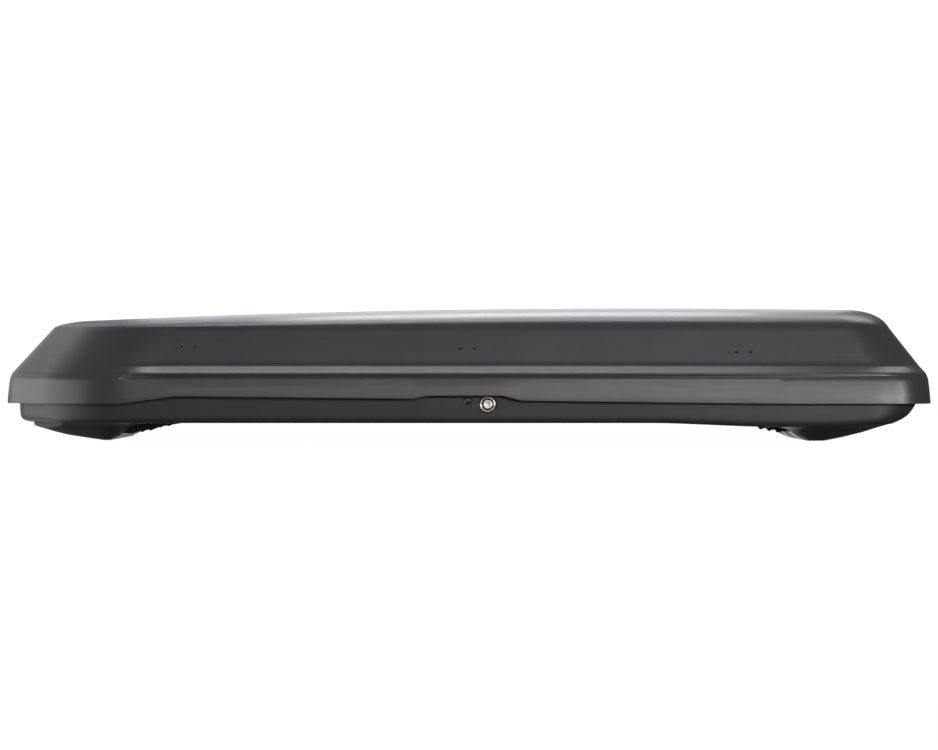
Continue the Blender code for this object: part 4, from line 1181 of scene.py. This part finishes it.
def make_studio():
    """A white floor and backdrop, and soft lights above, in front and at both ends."""
    reach, level = 10.0, -0.0006
    corners = [(-reach, -reach, level), (reach, -reach, level), (reach, reach, level), (-reach, reach, level)]
    white_wall("floor", corners, [(0, 1, 2, 3)], 0.985, 0.08)
    radius, count = 9.0, 48
    angles = [2 * math.pi * k / count for k in range(count)]
    ring = [(radius * math.cos(angle), radius * math.sin(angle), z) for z in (-1.0, 9.0) for angle in angles]
    panels = [(k, (k + 1) % count, count + (k + 1) % count, count + k) for k in range(count)]
    white_wall("backdrop", ring, panels, 1.05, 0.0)

    cool, warm, paler = (0.97, 0.98, 1.0), (1.0, 0.94, 0.92), (1.0, 0.97, 0.96)
    flat_light("above", (0.15, 1.40, 2.3), (0.1, 0.0, 0.25), 1.5, 1.5, 40.0, cool)
    flat_light("above_ledge", (-0.185, -0.02, 2.3), (-0.185, -0.4, 0.16), 2.22, 0.45, 25.0, cool)
    flat_light("above_front", (0.0, -2.2, 2.9), (0.0, -0.4, 0.2), 2.8, 1.2, 1.5, cool)
    flat_light("above_left", (-3.0, 1.0, 2.6), (-0.9, -0.2, 0.2), 2.2, 2.0, 5.5, cool)
    flat_light("above_right", (1.5, 1.0, 2.2), (0.9, 0.0, 0.25), 1.0, 1.4, 14.0, cool)
    flat_light("behind_left", (-3.4, 3.1, 1.7), (-0.8, 0.0, 0.25), 4.4, 3.0, 18.0, cool)
    flat_light("behind", (0.1, 3.1, 1.7), (0.1, 0.0, 0.25), 2.6, 3.0, 29.0, cool)
    flat_light("front_left", (-0.75, -4.6, 0.95), (-0.4, -0.4, 0.12), 1.2, 0.75, 12.0, (1.0, 0.97, 0.94))
    flat_light("front_right", (0.72, -4.6, 0.95), (0.4, -0.4, 0.12), 1.1, 0.75, 24.0, warm)
    flat_light("right_front", (2.5, -4.0, 0.54), (0.9, -0.4, 0.12), 2.1, 0.70, 70.0, paler)
    flat_light("right_corner", (4.0, -2.7, 0.56), (0.9, -0.4, 0.12), 1.5, 0.9, 60.0, paler)
    flat_light("left_side", (-3.6, 0.15, 0.10), (-0.95, -0.2, 0.12), 2.6, 2.0, 36.0, (1.0, 0.93, 0.91))
    flat_light("left_fill", (-3.4, -1.6, 0.25), (-0.9, -0.3, 0.12), 1.2, 1.6, 14.0, warm)
    flat_light("left_low", (-3.2, -0.3, -1.3), (-0.9, -0.2, 0.05), 2.2, 1.2, 12.0, warm)
    flat_light("behind_low", (-2.6, 2.4, -1.5), (-0.86, -0.2, 0.02), 1.2, 1.0, 7.0, warm)
    flat_light("under_nose", (-0.90, 3.1, -0.38), (-0.74, 0.0, 0.02), 0.8, 0.4, 3.0, warm)
    flat_light("under_tail", (0.85, 3.1, -0.38), (0.72, 0.0, 0.02), 0.8, 0.4, 5.0, cool)
    make_sky()


def make_camera():
    """A level camera that looks straight at the near side."""
    data = bpy.data.cameras.new("camera")
    data.sensor_width = 36.0
    data.lens = 101.2
    camera = linked("camera", data)
    camera.location = (0.009, -6.0, 0.1453)
    camera.rotation_euler = (math.radians(90), 0.0, 0.0)
    bpy.context.scene.camera = camera


for make in (
    make_lid, make_base, make_pod_ribs, make_trim, make_rivets, make_lock, make_struts, make_clamps,
    make_straps, make_floor_bars, make_bracket_screws, finish_cad_nodes, make_studio, make_camera,
):
    make()

bpy.context.scene.view_settings.view_transform = "Standard"
bpy.context.scene.view_settings.look = "None"

bpy.context.view_layer.update()
